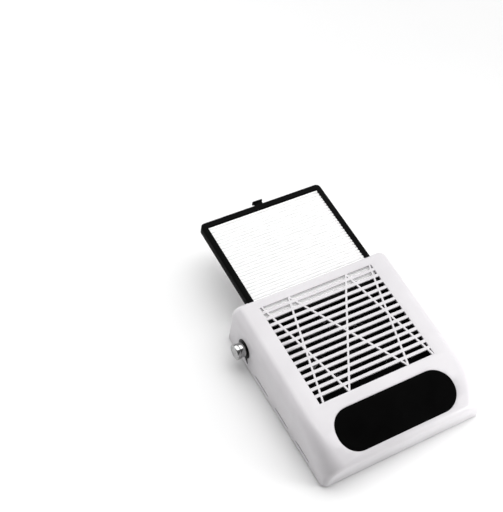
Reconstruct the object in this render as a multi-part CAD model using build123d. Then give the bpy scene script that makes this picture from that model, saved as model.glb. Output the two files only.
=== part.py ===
from build123d import *
import math
import os

# Desktop nail dust collector: a low white casing with a slatted intake grille, a palm rest on the
# sloping front, a filter drawer that slides in from the back, a fan below it and a speed knob on the
# left side. Millimetres, +Z up, the table at z = 0, the user at -Y. x = 0 is the casing's centre line
# and y = 0 is half way along it. The drawer is drawn pulled out, as it is for emptying.

# ---- casing ----
BODY_WIDTH = 225.0
BODY_LENGTH = 233.0
BACK_HEIGHT = 57.9          # casing alone, without the feet
FOOT_PROUD = 1.6            # how far the feet lift the casing off the table
WALL = 2.4
TOP_SLOPE = 2.42            # degrees, falling towards the user
FLAT_TOP = 164.2            # level part of the top, from the back face forwards
FRONT_HEIGHT = 29.75        # where the rolled-over top would meet the front face, above the lower edge
SIDE_RADIUS = 13.7          # top side edges, along the flat top
FRONT_SIDE_RADIUS = 28.0    # the same edges where they reach the front face
FRONT_RIM_RADIUS = 8.0
BACK_RIM_RADIUS = 9.0
SEAT_GAP = 0.3              # between separate mouldings that lie side by side
FIT_GAP = 0.05              # radial gap of a screw in its pilot hole and of a running shaft

# ---- grille ----
GRILLE_WIDTH = 162.2
GRILLE_LENGTH = 143.4
GRILLE_SETBACK = 5.0        # from the start of the front roll to the grille's front edge
GRILLE_ROWS = 15
SLOT_SHARE = 0.60           # open part of each pitch
FRONT_SLOT_SHARE = 0.87     # the row nearest the user is wider
GRILLE_GAP = 0.1
FLANGE_WIDTH = 4.0
FLANGE_THICKNESS = 1.2
RIB_WIDTH = 2.3
RIB_BACK = (0.02, 0.25, 0.765, 0.985)    # where the diagonal ribs meet the back edge, across it
RIB_FRONT = (0.03, 0.25, 0.765, 0.99)
RIBS = ((0, 1), (1, 0), (1, 2), (2, 1), (2, 3), (3, 2))

# ---- palm rest ----
PAD_LENGTH = 163.6
PAD_WIDTH = 52.7
PAD_CORNER = 25.3
PAD_SETBACK = 42.3          # from the grille's front edge to the middle of the pad, along the surface
PAD_SUNK = 1.0
PAD_PROUD = 0.4
PAD_GAP = 0.15

# ---- filter drawer ----
FILTER_WIDTH = 178.0
FILTER_LENGTH = 170.0
FILTER_THICKNESS = 11.0
FILTER_CORNER = 6.0
FILTER_BAR = 7.8
FILTER_LEDGE = 1.5
FILTER_DROP = 0.5           # running gap under the casing's top
FILTER_PULLED = 128.4       # how far out the drawer is drawn
FILTER_BACKSET = 0.3        # how far inside the back face it stops when pushed home
RUNNER_GAP = 0.3
RUNNER_WIDTH = 5.0
RUNNER_THICKNESS = 1.5
CROSS_RIBS = 3
CROSS_RIB_WIDTH = 2.0
TAB_WIDTH = 11.0
TAB_LENGTH = 8.5
TAB_LIP_WIDTH = 14.0
TAB_LIP = 2.0
TAB_THICKNESS = 4.0
PLEAT_PITCH = 3.6
PAPER = 0.4

# ---- inner tray ----
TRAY_WALL = 2.0
TRAY_TOP_GAP = 0.7          # under the casing's top, which already falls away at the tray's front wall
TRAY_FLOOR_DROP = 0.5       # from the runners' lowest point to the floor
TRAY_EAR = 9.0
TRAY_EAR_PLACES = (14.7, 98.7)      # behind the grille's front edge
TRAY_EAR_REACH = 7.0        # from the tray's side to its screws
GUARD_RINGS = 4
GUARD_RIBS = 8
GUARD_RIB = 1.6
GUARD_GAP = 7.6

# ---- fan ----
FAN_SIZE = 120.0
FAN_DEPTH = 25.0
FAN_HOLE_SPACING = 105.0
FAN_BORE = 58.0
FAN_FLANGE = 4.0
FAN_SHELL = 1.9
FAN_PILOT = 2.15
GASKET = 1.0
HUB_RADIUS = 21.0
HUB_WALL = 1.6
STRUTS = 4
STRUT_WIDTH = 3.4
STRUT_HEIGHT = 3.0
BLADES = 7
BLADE_TIP_GAP = 1.4
BLADE_THICKNESS = 1.8
BLADE_CHORD_ROOT = 23.0
BLADE_CHORD_TIP = 35.0
BLADE_PITCH_ROOT = 44.0
BLADE_PITCH_TIP = 26.0
MOTOR_SHAFT = 1.5
BEARING_OUTER = 4.0
BEARING_WIDTH = 4.0
BEARING_RACE = 0.75
BALLS = 7
BALL_RADIUS = 0.45
TUBE_WALL = 1.2
MAGNET_INNER = 16.0
MAGNET_OUTER = 18.0
CUP_WALL = 1.0
STATOR_OUTER = 15.5
STATOR_POLES = 4
POLE_WIDTH = 4.0
WINDING = 2.2
SHOE = 1.6

# ---- base, feet and screws ----
BASE_THICKNESS = 2.5
FOOT_RADIUS = 8.0
FOOT_SUNK = 1.0
FOOT_SIDE_INSET = 28.5
FOOT_FRONT_INSET = 40.0     # from the casing's end faces
FOOT_BACK_INSET = 28.0
BOSS_RADIUS = 4.0
CASE_BOSSES = ((10.5, 12.5), (10.5, 104.0), (18.5, 216.5))     # in from the side face, in from the back face
VENT_LENGTH = 31.0
VENT_HEIGHT = 2.0
VENT_Z = 8.3
VENT_PITCH = 48.0
VENT_SETBACK = 96.5         # from the front face to the middle slot
BASE_VENT_ROWS = 9
BASE_VENT_PITCH = 9.0
BASE_VENT_WIDTH = 4.0
BASE_VENT_INNER = 7.0
BASE_VENT_OUTER = 50.0

CASE_SCREW = 1.45           # shank radii
TRAY_SCREW = 1.45
BOARD_SCREW = 1.2
CASE_SCREW_LENGTH = 13.0
CASE_SCREW_HEAD = 3.0
CASE_HEAD_HEIGHT = 1.3
CASE_RECESS = 3.3
CASE_RECESS_DEPTH = 1.6
TRAY_SCREW_BITE = 8.0
TRAY_SCREW_HEAD = 3.0
TRAY_HEAD_HEIGHT = 1.8
FAN_SCREW_HEAD = 4.0
FAN_HEAD_HEIGHT = 2.0
FAN_RECESS = 4.3
FAN_RECESS_DEPTH = 2.2
FAN_STANDOFF = 5.2
BOARD_STANDOFF = 3.0
BOARD_SCREW_BITE = 4.0
BOARD_SCREW_HEAD = 2.3
BOARD_HEAD_HEIGHT = 1.4
BOARD_HOLE_INSET = 3.5
PILOT_EXTRA = 1.0           # pilot holes go this much deeper than their screws

# ---- speed control ----
KNOB_BACK_INSET = 41.6      # from the back face
KNOB_Z = 25.6
KNOB_RADIUS = 10.0
KNOB_STANDOUT = 13.8
KNOB_CAP = 4.6
KNOB_NECK = 1.2
DIAL_THICKNESS = 0.8
DIAL_RADIUS = 12.6
DIAL_TAIL_REACH = 20.5
DIAL_TAIL_ANGLE = 234.5     # degrees round the knob, from the back, upwards
POT_SHAFT = 3.0
POT_BUSHING = 3.5
POT_BODY_RADIUS = 8.5
POT_BODY_DEPTH = 8.0
POT_NUT_FLATS = 10.0
POT_NUT = 2.0
BOARD_SIDE_INSET = 31.5
BOARD_FORWARD = 24.0        # its middle, forward of the fan's
BOARD_WIDTH = 30.0
BOARD_LENGTH = 70.0
BOARD_THICKNESS = 1.6
BOARD_LIFT = 5.0
CHIP_WIDTH = 4.0
CHIP_LENGTH = 5.0
CHIP_HEIGHT = 1.5
TRANSISTOR_WIDTH = 4.5
TRANSISTOR_LENGTH = 10.0
TRANSISTOR_HEIGHT = 9.0
SINK_FINS = 5
SINK_FIN = 1.2
SINK_PITCH = 3.5
SINK_PLATE = 2.0
SINK_DEPTH = 6.0
SINK_LENGTH = 16.0
SINK_HEIGHT = 14.0
BIG_CAPACITOR = 4.0         # radii
SMALL_CAPACITOR = 2.5
BIG_CAPACITOR_HEIGHT = 12.0
SMALL_CAPACITOR_HEIGHT = 8.0
PLUG_SIZE = 7.0
PLUG_HEIGHT = 6.0
LEAD_LEVEL = 3.0            # middle of a lead above the board
TAG_PITCH = 4.0
TAG_THICKNESS = 0.8
TAG_WIDTH = 2.0
TAG_DROP = 3.0              # solder tags below the can
SET_SCREW = 1.2
KNOB_WALL_GAP = 1.9         # behind the skirt, clear of the dial ring
WASHER = 0.4
WASHER_RADIUS = 5.6

# ---- power inlet ----
JACK_SIDE_INSET = 28.5
JACK_Z = 17.0
JACK_SOCKET = 2.75
JACK_PIN = 1.05
JACK_BODY = 4.0
JACK_FLANGE = 5.5
JACK_DEPTH = 14.0
JACK_NUT_FLATS = 10.0
LEAD_RADIUS = 1.3

# ---- derived ----
SLOPE = math.radians(TOP_SLOPE)
Y_BACK = BODY_LENGTH / 2
Y_FRONT = -BODY_LENGTH / 2
Z_RIM = FOOT_PROUD                      # the casing's lower edge and the base's underside
ARC_Y = Y_BACK - FLAT_TOP
BASE_TOP = Z_RIM + BASE_THICKNESS
INNER_X = BODY_WIDTH / 2 - WALL
GRILLE_Y = ARC_Y + GRILLE_SETBACK
FAN_Y = GRILLE_Y + GRILLE_LENGTH / 2
KNOB_Y = Y_BACK - KNOB_BACK_INSET
BOARD_X = BOARD_SIDE_INSET - BODY_WIDTH / 2
BOARD_Y = FAN_Y - BOARD_FORWARD
JACK_X = JACK_SIDE_INSET - BODY_WIDTH / 2
FILTER_HOME_BACK = (Y_BACK - GRILLE_Y) / math.cos(SLOPE) - FILTER_BACKSET
FILTER_TOP = -(WALL + FILTER_DROP)
FILTER_BOTTOM = FILTER_TOP - FILTER_THICKNESS
PULLED_BACK = FILTER_HOME_BACK + FILTER_PULLED
PULLED_FRONT = PULLED_BACK - FILTER_LENGTH


def flat_top(y):
    """Height of the sloping flat top at y, carried on past its end."""
    return Z_RIM + BACK_HEIGHT - (Y_BACK - y) * math.tan(SLOPE)


def roll_radius():
    """Radius of the arc that leaves the flat top without a kink and ends at the front's height."""
    back = ARC_Y - Y_FRONT
    drop = flat_top(ARC_Y) - (Z_RIM + FRONT_HEIGHT)
    along = back * math.cos(SLOPE) + drop * math.sin(SLOPE)
    away = drop * math.cos(SLOPE) - back * math.sin(SLOPE)
    return (along ** 2 + away ** 2) / (2 * away)


TRAY_FLOOR_TOP = (flat_top(GRILLE_Y) + FILTER_BOTTOM * math.cos(SLOPE)
                  - RUNNER_GAP - RUNNER_THICKNESS - TRAY_FLOOR_DROP)
TRAY_FLOOR_BOTTOM = TRAY_FLOOR_TOP - TRAY_WALL
FAN_TOP = TRAY_FLOOR_BOTTOM - GASKET
FAN_BOTTOM = FAN_TOP - FAN_DEPTH
FRONT_ARC_RADIUS = roll_radius()
ARC_CENTRE_Y = ARC_Y + FRONT_ARC_RADIUS * math.sin(SLOPE)
ARC_CENTRE_Z = flat_top(ARC_Y) - FRONT_ARC_RADIUS * math.cos(SLOPE)
# the sloping flat top as a plane: x across, y up the slope to the back, z out of the surface
TOP = Plane((0, GRILLE_Y, flat_top(GRILLE_Y)), x_dir=(1, 0, 0), z_dir=(0, -math.sin(SLOPE), math.cos(SLOPE)))


def roll_angle(y):
    """Slope of the top at y, in radians."""
    return SLOPE if y >= ARC_Y else math.asin((ARC_CENTRE_Y - y) / FRONT_ARC_RADIUS)


def top_height(y):
    """Height of the casing's top on its centre line at y."""
    return flat_top(y) if y >= ARC_Y else ARC_CENTRE_Z + FRONT_ARC_RADIUS * math.cos(roll_angle(y))


# ---- small makers ----
def block(x0, x1, y0, y1, z0, z1):
    """A box between two corners."""
    return Pos((x0 + x1) / 2, (y0 + y1) / 2, (z0 + z1) / 2) * Box(abs(x1 - x0), abs(y1 - y0), abs(z1 - z0))


def post(x, y, z0, z1, radius):
    """An upright cylinder from z0 to z1."""
    return Pos(x, y, (z0 + z1) / 2) * Cylinder(radius, z1 - z0)


def ring(x, y, z0, z1, outer, inner):
    """An upright tube from z0 to z1."""
    return post(x, y, z0, z1, outer) - post(x, y, z0 - 1, z1 + 1, inner)


def rod_x(x0, x1, y, z, radius):
    """A cylinder along X."""
    return Pos((x0 + x1) / 2, y, z) * Rot(0, 90, 0) * Cylinder(radius, abs(x1 - x0))


def rod_y(x, y0, y1, z, radius):
    """A cylinder along Y."""
    return Pos(x, (y0 + y1) / 2, z) * Rot(90, 0, 0) * Cylinder(radius, abs(y1 - y0))


def on_top(shape):
    """Takes a shape from the sloping top's own directions into place."""
    return TOP.location * shape


def both_sides(shape):
    """The shape and its mirror image across the casing's centre line."""
    return [shape, mirror(shape, about=Plane.YZ)]


def screw(x, y, z_seat, length, shank, head, head_height, up):
    """A pan-head screw whose shank leaves the head's seat upwards (up = 1) or downwards (up = -1)."""
    ends = sorted((z_seat, z_seat + up * length))
    caps = sorted((z_seat, z_seat - up * head_height))
    body = post(x, y, ends[0], ends[1], shank) + post(x, y, caps[0], caps[1], head)
    drive = sorted((z_seat - up * head_height, z_seat - up * head_height * 0.4))
    slots = block(x - head * 0.6, x + head * 0.6, y - head * 0.12, y + head * 0.12, drive[0], drive[1])
    slots += block(x - head * 0.12, x + head * 0.12, y - head * 0.6, y + head * 0.6, drive[0], drive[1])
    return body - slots


# ---- casing ----
def casing_section(y, inset):
    """The casing's outline across the width at y, drawn in by inset."""
    half = BODY_WIDTH / 2 - inset
    top = top_height(y) - inset / math.cos(roll_angle(y))
    bottom = Z_RIM - (1 if inset else 0)
    share = max(0.0, (ARC_Y - y) / (ARC_Y - Y_FRONT))
    radius = SIDE_RADIUS + (FRONT_SIDE_RADIUS - SIDE_RADIUS) * share ** 2 - inset
    radius = min(radius, top - bottom - 1)
    bulge = radius * math.cos(math.pi / 4)
    left, right = -half + radius, half - radius
    return Wire([
        Edge.make_line((-half, y, bottom), (-half, y, top - radius)),
        Edge.make_three_point_arc(
            (-half, y, top - radius), (left - bulge, y, top - radius + bulge), (left, y, top)),
        Edge.make_line((left, y, top), (right, y, top)),
        Edge.make_three_point_arc(
            (right, y, top), (right + bulge, y, top - radius + bulge), (half, y, top - radius)),
        Edge.make_line((half, y, top - radius), (half, y, bottom)),
        Edge.make_line((half, y, bottom), (-half, y, bottom)),
    ])


def end_rim(shape, y):
    """The edges round an end face of the casing, without the lowest one."""
    flat = [e for e in shape.edges() if abs(e.center().Y - y) < 0.01 and e.bounding_box().size.Y < 0.01]
    lowest = min(e.center().Z for e in flat)
    return [e for e in flat if e.center().Z > lowest + 0.01]


def casing_block(inset):
    """The casing as a full block: its outer shape, or its hollow where inset is the wall."""
    back = Y_BACK - inset
    front = Y_FRONT + inset
    stations = 7
    steps = [ARC_Y + (front - ARC_Y) * i / (stations - 1) for i in range(stations)]
    level = Solid.make_loft([casing_section(back, inset), casing_section(ARC_Y, inset)], True)
    roll = Solid.make_loft([casing_section(y, inset) for y in steps], False)
    body = level.fuse(roll).solids()[0]
    body = body.fillet(BACK_RIM_RADIUS - inset, end_rim(body, back))
    return body.fillet(FRONT_RIM_RADIUS - inset, end_rim(body, front))


def case_boss_places():
    """Where the six casing screws stand, as x and y."""
    return [(side * (BODY_WIDTH / 2 - aside), Y_BACK - back) for aside, back in CASE_BOSSES for side in (-1, 1)]


def tray_boss_places():
    """Where the four tray screws stand, as x and y."""
    reach = FILTER_WIDTH / 2 + FILTER_DROP + TRAY_WALL + TRAY_EAR_REACH
    return [(side * reach, GRILLE_Y + behind) for behind in TRAY_EAR_PLACES for side in (-1, 1)]


def pill(grow):
    """The palm rest's outline as an upright prism, square to the surface at its middle."""
    along = (PAD_SETBACK - GRILLE_SETBACK) / FRONT_ARC_RADIUS + SLOPE
    y = ARC_CENTRE_Y - FRONT_ARC_RADIUS * math.sin(along)
    z = ARC_CENTRE_Z + FRONT_ARC_RADIUS * math.cos(along)
    plane = Plane((0, y, z), x_dir=(1, 0, 0), z_dir=(0, -math.sin(along), math.cos(along)))
    outline = RectangleRounded(PAD_LENGTH + 2 * grow, PAD_WIDTH + 2 * grow, PAD_CORNER + grow)
    return plane.location * (Pos(0, 0, -15) * extrude(outline, 30))


def roll_layer(below, above):
    """A layer that follows the front roll, from below to above its surface."""
    half = PAD_LENGTH / 2 + 5
    outer = rod_x(-half, half, ARC_CENTRE_Y, ARC_CENTRE_Z, FRONT_ARC_RADIUS + above)
    return outer - rod_x(-half - 1, half + 1, ARC_CENTRE_Y, ARC_CENTRE_Z, FRONT_ARC_RADIUS - below)


def filter_passage():
    """The slot through the back wall that the drawer slides in."""
    half = FILTER_WIDTH / 2 + FILTER_DROP
    return on_top(block(-half, half, FILTER_HOME_BACK - 15, FILTER_HOME_BACK + 15,
                        FILTER_BOTTOM - FILTER_DROP, -WALL))


def side_vents():
    """Three thin outlet slots low in each side wall."""
    cuts = []
    for step in (-1, 0, 1):
        y = Y_FRONT + VENT_SETBACK + step * VENT_PITCH
        cut = block(-BODY_WIDTH / 2 - 2, -INNER_X + 1, y - VENT_LENGTH / 2, y + VENT_LENGTH / 2,
                    VENT_Z - VENT_HEIGHT / 2, VENT_Z + VENT_HEIGHT / 2)
        cuts += both_sides(cut)
    return cuts


def upper_casing():
    outer = casing_block(0)
    shell = Part() + outer - casing_block(WALL)
    for x, y in case_boss_places():
        shell += post(x, y, BASE_TOP, top_height(y), BOSS_RADIUS) & outer
    for x, y in tray_boss_places():
        shell += post(x, y, TRAY_FLOOR_TOP, top_height(y), BOSS_RADIUS) & outer
    for x, y in case_boss_places():
        tip = Z_RIM + CASE_RECESS_DEPTH + CASE_SCREW_LENGTH
        shell -= post(x, y, BASE_TOP - 1, tip + PILOT_EXTRA, CASE_SCREW + FIT_GAP)
    for x, y in tray_boss_places():
        shell -= post(x, y, TRAY_FLOOR_TOP - 1, TRAY_FLOOR_TOP + TRAY_SCREW_BITE + PILOT_EXTRA, TRAY_SCREW + FIT_GAP)
    half = GRILLE_WIDTH / 2
    lap = FLANGE_WIDTH
    shell -= on_top(block(-half, half, 0, GRILLE_LENGTH, -5, 5))
    shell -= on_top(block(-half - lap, half + lap, -lap, GRILLE_LENGTH + lap,
                          -WALL - 1, FLANGE_THICKNESS - WALL))
    shell -= roll_layer(PAD_SUNK, 3) & pill(PAD_GAP)
    shell -= filter_passage()
    for cut in side_vents():
        shell -= cut
    shell -= rod_x(-BODY_WIDTH / 2 - 1, -INNER_X + 1, KNOB_Y, KNOB_Z, POT_BUSHING + FIT_GAP)
    shell -= rod_y(JACK_X, Y_BACK - WALL - 1, Y_BACK + 1, JACK_Z, JACK_BODY + FIT_GAP)
    return shell


def intake_grille():
    """Slats across the window, tied by diagonal ribs and a flange that laps under the casing."""
    half = GRILLE_WIDTH / 2 - GRILLE_GAP
    length = GRILLE_LENGTH - GRILLE_GAP
    lap = FLANGE_WIDTH - GRILLE_GAP
    bottom = -WALL
    pitch = GRILLE_LENGTH / (GRILLE_ROWS - 1 + FRONT_SLOT_SHARE)
    first = FRONT_SLOT_SHARE * pitch
    grille = block(-half - lap, half + lap, -lap, length + lap, bottom, bottom + FLANGE_THICKNESS)
    grille -= block(-half, half, GRILLE_GAP, length, bottom - 1, 1)
    for row in range(GRILLE_ROWS - 1):
        start = first + row * pitch
        end = start + (1 - SLOT_SHARE) * pitch
        grille += block(-half, half, start, end, bottom, 0)
    field = block(-half, half, GRILLE_GAP, length, bottom, 0)
    for back, front in RIBS:
        xb = (RIB_BACK[back] - 0.5) * GRILLE_WIDTH
        xf = (RIB_FRONT[front] - 0.5) * GRILLE_WIDTH
        run = math.hypot(xb - xf, GRILLE_LENGTH)
        turn = math.degrees(math.atan2(xf - xb, GRILLE_LENGTH))
        rib = Pos((xb + xf) / 2, GRILLE_LENGTH / 2, bottom / 2) * Rot(0, 0, turn) * Box(RIB_WIDTH, run + 8, WALL)
        grille += rib & field
    return on_top(grille)


def palm_rest():
    return roll_layer(PAD_SUNK, PAD_PROUD) & pill(0)


# ---- filter drawer ----
def filter_frame():
    """A moulded frame with a ledge under the paper, cross ribs and a pull tab."""
    half = FILTER_WIDTH / 2
    middle = (PULLED_BACK + PULLED_FRONT) / 2
    outline = RectangleRounded(FILTER_WIDTH, FILTER_LENGTH, FILTER_CORNER)
    opening = Rectangle(FILTER_WIDTH - 2 * FILTER_BAR, FILTER_LENGTH - 2 * FILTER_BAR)
    sill = Rectangle(FILTER_WIDTH - 2 * FILTER_BAR - 4, FILTER_LENGTH - 2 * FILTER_BAR - 4)
    frame = extrude(outline, FILTER_THICKNESS)
    frame -= Pos(0, 0, FILTER_LEDGE) * extrude(opening, FILTER_THICKNESS)
    frame -= Pos(0, 0, -1) * extrude(sill, FILTER_THICKNESS)
    for i in range(CROSS_RIBS):
        x = (i + 1) * (2 * half - 2 * FILTER_BAR) / (CROSS_RIBS + 1) - half + FILTER_BAR
        frame += block(x - CROSS_RIB_WIDTH / 2, x + CROSS_RIB_WIDTH / 2,
                       -FILTER_LENGTH / 2 + FILTER_BAR - 1, FILTER_LENGTH / 2 - FILTER_BAR + 1, 0, FILTER_LEDGE)
    back = FILTER_LENGTH / 2
    low = (FILTER_THICKNESS - TAB_THICKNESS) / 2
    frame += block(-TAB_WIDTH / 2, TAB_WIDTH / 2, back - 1, back + TAB_LENGTH, low, low + TAB_THICKNESS)
    frame += block(-TAB_LIP_WIDTH / 2, TAB_LIP_WIDTH / 2, back + TAB_LENGTH - TAB_LIP, back + TAB_LENGTH,
                   low - 1, low + TAB_THICKNESS + 1)
    return on_top(Pos(0, middle, FILTER_BOTTOM) * frame)


def filter_media():
    """Pleated paper: one sheet folded to and fro across the frame's opening."""
    half = FILTER_WIDTH / 2 - FILTER_BAR - SEAT_GAP / 2
    depth = FILTER_LENGTH - 2 * FILTER_BAR - SEAT_GAP
    pleats = int(depth / PLEAT_PITCH)
    pitch = depth / pleats
    low = FILTER_LEDGE
    high = FILTER_THICKNESS - 0.6
    rise = PAPER * math.hypot(pitch / 2, high - low) / (pitch / 2)
    upper = []
    for i in range(pleats):
        upper += [(i * pitch, low + rise), ((i + 0.5) * pitch, high)]
    upper += [(depth, low + rise)]
    lower = [(y, z - rise) for y, z in reversed(upper)]
    outline = make_face(Polyline(upper + lower, close=True))
    sheet = extrude(Plane((-half, -depth / 2, 0), x_dir=(0, 1, 0), z_dir=(1, 0, 0)).location * outline, 2 * half)
    middle = (PULLED_BACK + PULLED_FRONT) / 2
    return on_top(Pos(0, middle, FILTER_BOTTOM) * sheet)


def filter_tray():
    """Tub under the grille: runners for the drawer, and a floor with the fan's inlet."""
    inside = FILTER_WIDTH / 2 + FILTER_DROP
    outside = inside + TRAY_WALL
    front = PULLED_FRONT - FILTER_PULLED - 2 * FILTER_DROP
    back = (Y_BACK - WALL - SEAT_GAP - GRILLE_Y) / math.cos(SLOPE)
    under = -(WALL + TRAY_TOP_GAP)
    tall = block(-outside, outside, front - TRAY_WALL, back, -40, under)
    tall -= block(-inside, inside, front, back + 1, -40, 1)
    runner_top = FILTER_BOTTOM - RUNNER_GAP
    for side in (-1, 1):
        tall += block(side * (inside - RUNNER_WIDTH), side * (inside + 1), front - 1, back,
                      runner_top - RUNNER_THICKNESS, runner_top)
    rounding = BACK_RIM_RADIUS - WALL
    tall -= block(-outside - 1, outside + 1, back - rounding, back + 1, -WALL - rounding, 1)
    y0 = GRILLE_Y + (front - TRAY_WALL) * math.cos(SLOPE)
    y1 = Y_BACK - WALL - SEAT_GAP
    tray = on_top(tall) & block(-outside, outside, y0 - 2, y1, TRAY_FLOOR_BOTTOM, 80)
    tray += block(-outside, outside, y0, y1, TRAY_FLOOR_BOTTOM, TRAY_FLOOR_TOP)
    for x, y in tray_boss_places():
        side = 1 if x > 0 else -1
        tray += block(side * (outside - 1), x + side * TRAY_EAR / 2, y - TRAY_EAR / 2, y + TRAY_EAR / 2,
                      TRAY_FLOOR_BOTTOM, TRAY_FLOOR_TOP)
        tray -= post(x, y, TRAY_FLOOR_BOTTOM - 1, TRAY_FLOOR_TOP + 1, TRAY_SCREW + SEAT_GAP)
    tray -= post(0, FAN_Y, TRAY_FLOOR_BOTTOM - 1, TRAY_FLOOR_TOP + 1, FAN_BORE)
    return tray + inlet_guard()


def inlet_guard():
    """Finger guard moulded across the fan's inlet: a middle disc, rings and cross ribs."""
    low, high = TRAY_FLOOR_BOTTOM, TRAY_FLOOR_TOP
    guard = post(0, FAN_Y, low, high, HUB_RADIUS - GUARD_GAP)
    for i in range(GUARD_RINGS):
        inner = HUB_RADIUS + i * (GUARD_GAP + GUARD_RIB)
        if inner + GUARD_RIB < FAN_BORE:
            guard += ring(0, FAN_Y, low, high, inner + GUARD_RIB, inner)
    for i in range(GUARD_RIBS):
        rib = block(HUB_RADIUS - GUARD_GAP - 1, FAN_BORE + 1, -GUARD_RIB / 2, GUARD_RIB / 2, low, high)
        guard += Pos(0, FAN_Y, 0) * Rot(0, 0, (i + 0.5) * 360 / GUARD_RIBS) * rib
    return guard


def tray_screws():
    length = TRAY_WALL + TRAY_SCREW_BITE
    return [screw(x, y, TRAY_FLOOR_BOTTOM, length, TRAY_SCREW, TRAY_SCREW_HEAD, TRAY_HEAD_HEIGHT, 1)
            for x, y in tray_boss_places()]


# ---- fan ----
def fan_corner_places():
    """The four corner holes of the fan, as x and y."""
    reach = FAN_HOLE_SPACING / 2
    return [(sx * reach, FAN_Y + sy * reach) for sx in (-1, 1) for sy in (-1, 1)]


def fan_frame():
    """Square fan housing: two flanges joined by a round shell, with a motor seat on four struts."""
    plate = extrude(RectangleRounded(FAN_SIZE, FAN_SIZE, 5), FAN_DEPTH)
    frame = Pos(0, FAN_Y, FAN_BOTTOM) * plate
    waist = block(-FAN_SIZE, FAN_SIZE, FAN_Y - FAN_SIZE, FAN_Y + FAN_SIZE,
                  FAN_BOTTOM + FAN_FLANGE, FAN_TOP - FAN_FLANGE)
    frame -= waist - post(0, FAN_Y, FAN_BOTTOM, FAN_TOP, FAN_BORE + FAN_SHELL)
    frame -= post(0, FAN_Y, FAN_BOTTOM - 1, FAN_TOP + 1, FAN_BORE)
    frame += post(0, FAN_Y, FAN_BOTTOM, FAN_BOTTOM + 2, HUB_RADIUS)
    for i in range(STRUTS):
        strut = block(HUB_RADIUS - 1, FAN_BORE + 1, -STRUT_WIDTH / 2, STRUT_WIDTH / 2, 0, STRUT_HEIGHT)
        frame += Pos(0, FAN_Y, FAN_BOTTOM) * Rot(0, 0, 45 + i * 360 / STRUTS) * strut
    frame += ring(0, FAN_Y, FAN_BOTTOM + 1, TUBE_TOP, BEARING_OUTER + TUBE_WALL, BEARING_OUTER + FIT_GAP)
    frame += ring(0, FAN_Y, FAN_BOTTOM + 1, SPRING_BOTTOM, BEARING_OUTER + TUBE_WALL / 2, BEARING_OUTER - 1.0)
    for x, y in fan_corner_places():
        frame -= post(x, y, FAN_BOTTOM - 1, FAN_TOP + 1, FAN_PILOT)
    return frame


HUB_TOP = FAN_TOP - 1.5
TUBE_TOP = HUB_TOP - 6.0
SPRING_BOTTOM = FAN_BOTTOM + 3.65       # on a shoulder at the foot of the bearing tube
BEARING_HIGH = TUBE_TOP - BEARING_WIDTH
SHAFT_BOTTOM = FAN_BOTTOM + 2.4
STATOR_BOTTOM = FAN_BOTTOM + 6.5
STATOR_TOP = TUBE_TOP - 3.0
HUB_BOTTOM = FAN_BOTTOM + 4.0


def fan_impeller():
    """Hub cap and seven twisted blades."""
    hub = post(0, FAN_Y, HUB_BOTTOM, HUB_TOP, HUB_RADIUS)
    hub -= post(0, FAN_Y, HUB_BOTTOM - 1, HUB_TOP - HUB_WALL, MAGNET_OUTER + CUP_WALL + FIT_GAP)
    hub += ring(0, FAN_Y, HUB_TOP - 4.0, HUB_TOP - 1, 3.6, MOTOR_SHAFT)
    hub -= post(0, FAN_Y, HUB_TOP - 4.5, HUB_TOP - 1, MOTOR_SHAFT)
    root = HUB_RADIUS - 0.8
    tip = FAN_BORE - BLADE_TIP_GAP
    middle = (HUB_BOTTOM + HUB_TOP) / 2
    low = FAN_BOTTOM + STRUT_HEIGHT + 1
    sweep = ring(0, FAN_Y, low, HUB_TOP, tip, HUB_RADIUS - 0.5)
    for i in range(BLADES):
        faces = []
        for radius, chord, pitch in ((root, BLADE_CHORD_ROOT, BLADE_PITCH_ROOT),
                                     (tip + 2, BLADE_CHORD_TIP, BLADE_PITCH_TIP)):
            plane = Plane((radius, 0, 0), x_dir=(0, 1, 0), z_dir=(1, 0, 0))
            faces.append(plane.location * (Rot(0, 0, pitch) * Rectangle(chord, BLADE_THICKNESS)))
        blade = Pos(0, FAN_Y, middle) * Rot(0, 0, i * 360 / BLADES) * loft(faces, ruled=True)
        hub += blade & sweep
    return hub


def rotor_cup():
    return (post(0, FAN_Y, HUB_BOTTOM + 1, HUB_TOP - 4.4, MAGNET_OUTER + CUP_WALL)
            - post(0, FAN_Y, HUB_BOTTOM, HUB_TOP - 5.4, MAGNET_OUTER)
            - post(0, FAN_Y, HUB_BOTTOM, HUB_TOP, MOTOR_SHAFT + FIT_GAP))


def rotor_magnet():
    return ring(0, FAN_Y, HUB_BOTTOM + 1.5, HUB_TOP - 5.6, MAGNET_OUTER - FIT_GAP, MAGNET_INNER)


def fan_shaft():
    """Motor shaft with a groove for its clip."""
    shaft = post(0, FAN_Y, SHAFT_BOTTOM, HUB_TOP - 1, MOTOR_SHAFT - 0.01)
    groove = ring(0, FAN_Y, SHAFT_BOTTOM + 0.8, SHAFT_BOTTOM + 1.4, MOTOR_SHAFT + 1, MOTOR_SHAFT - 0.35)
    return shaft - groove


def bearing_levels():
    """The two bearings' lower faces."""
    return [SPRING_BOTTOM + 0.75, BEARING_HIGH]


def bearing_outer_rings():
    return [ring(0, FAN_Y, z, z + BEARING_WIDTH, BEARING_OUTER, BEARING_OUTER - BEARING_RACE)
            for z in bearing_levels()]


def bearing_inner_rings():
    return [ring(0, FAN_Y, z, z + BEARING_WIDTH, MOTOR_SHAFT + BEARING_RACE, MOTOR_SHAFT + 0.01)
            for z in bearing_levels()]


def bearing_balls():
    middle = (BEARING_OUTER + MOTOR_SHAFT) / 2
    balls = []
    for z in bearing_levels():
        for i in range(BALLS):
            turn = 2 * math.pi * i / BALLS
            balls.append(Pos(middle * math.cos(turn), FAN_Y + middle * math.sin(turn), z + BEARING_WIDTH / 2)
                         * Sphere(BALL_RADIUS))
    return balls


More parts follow.
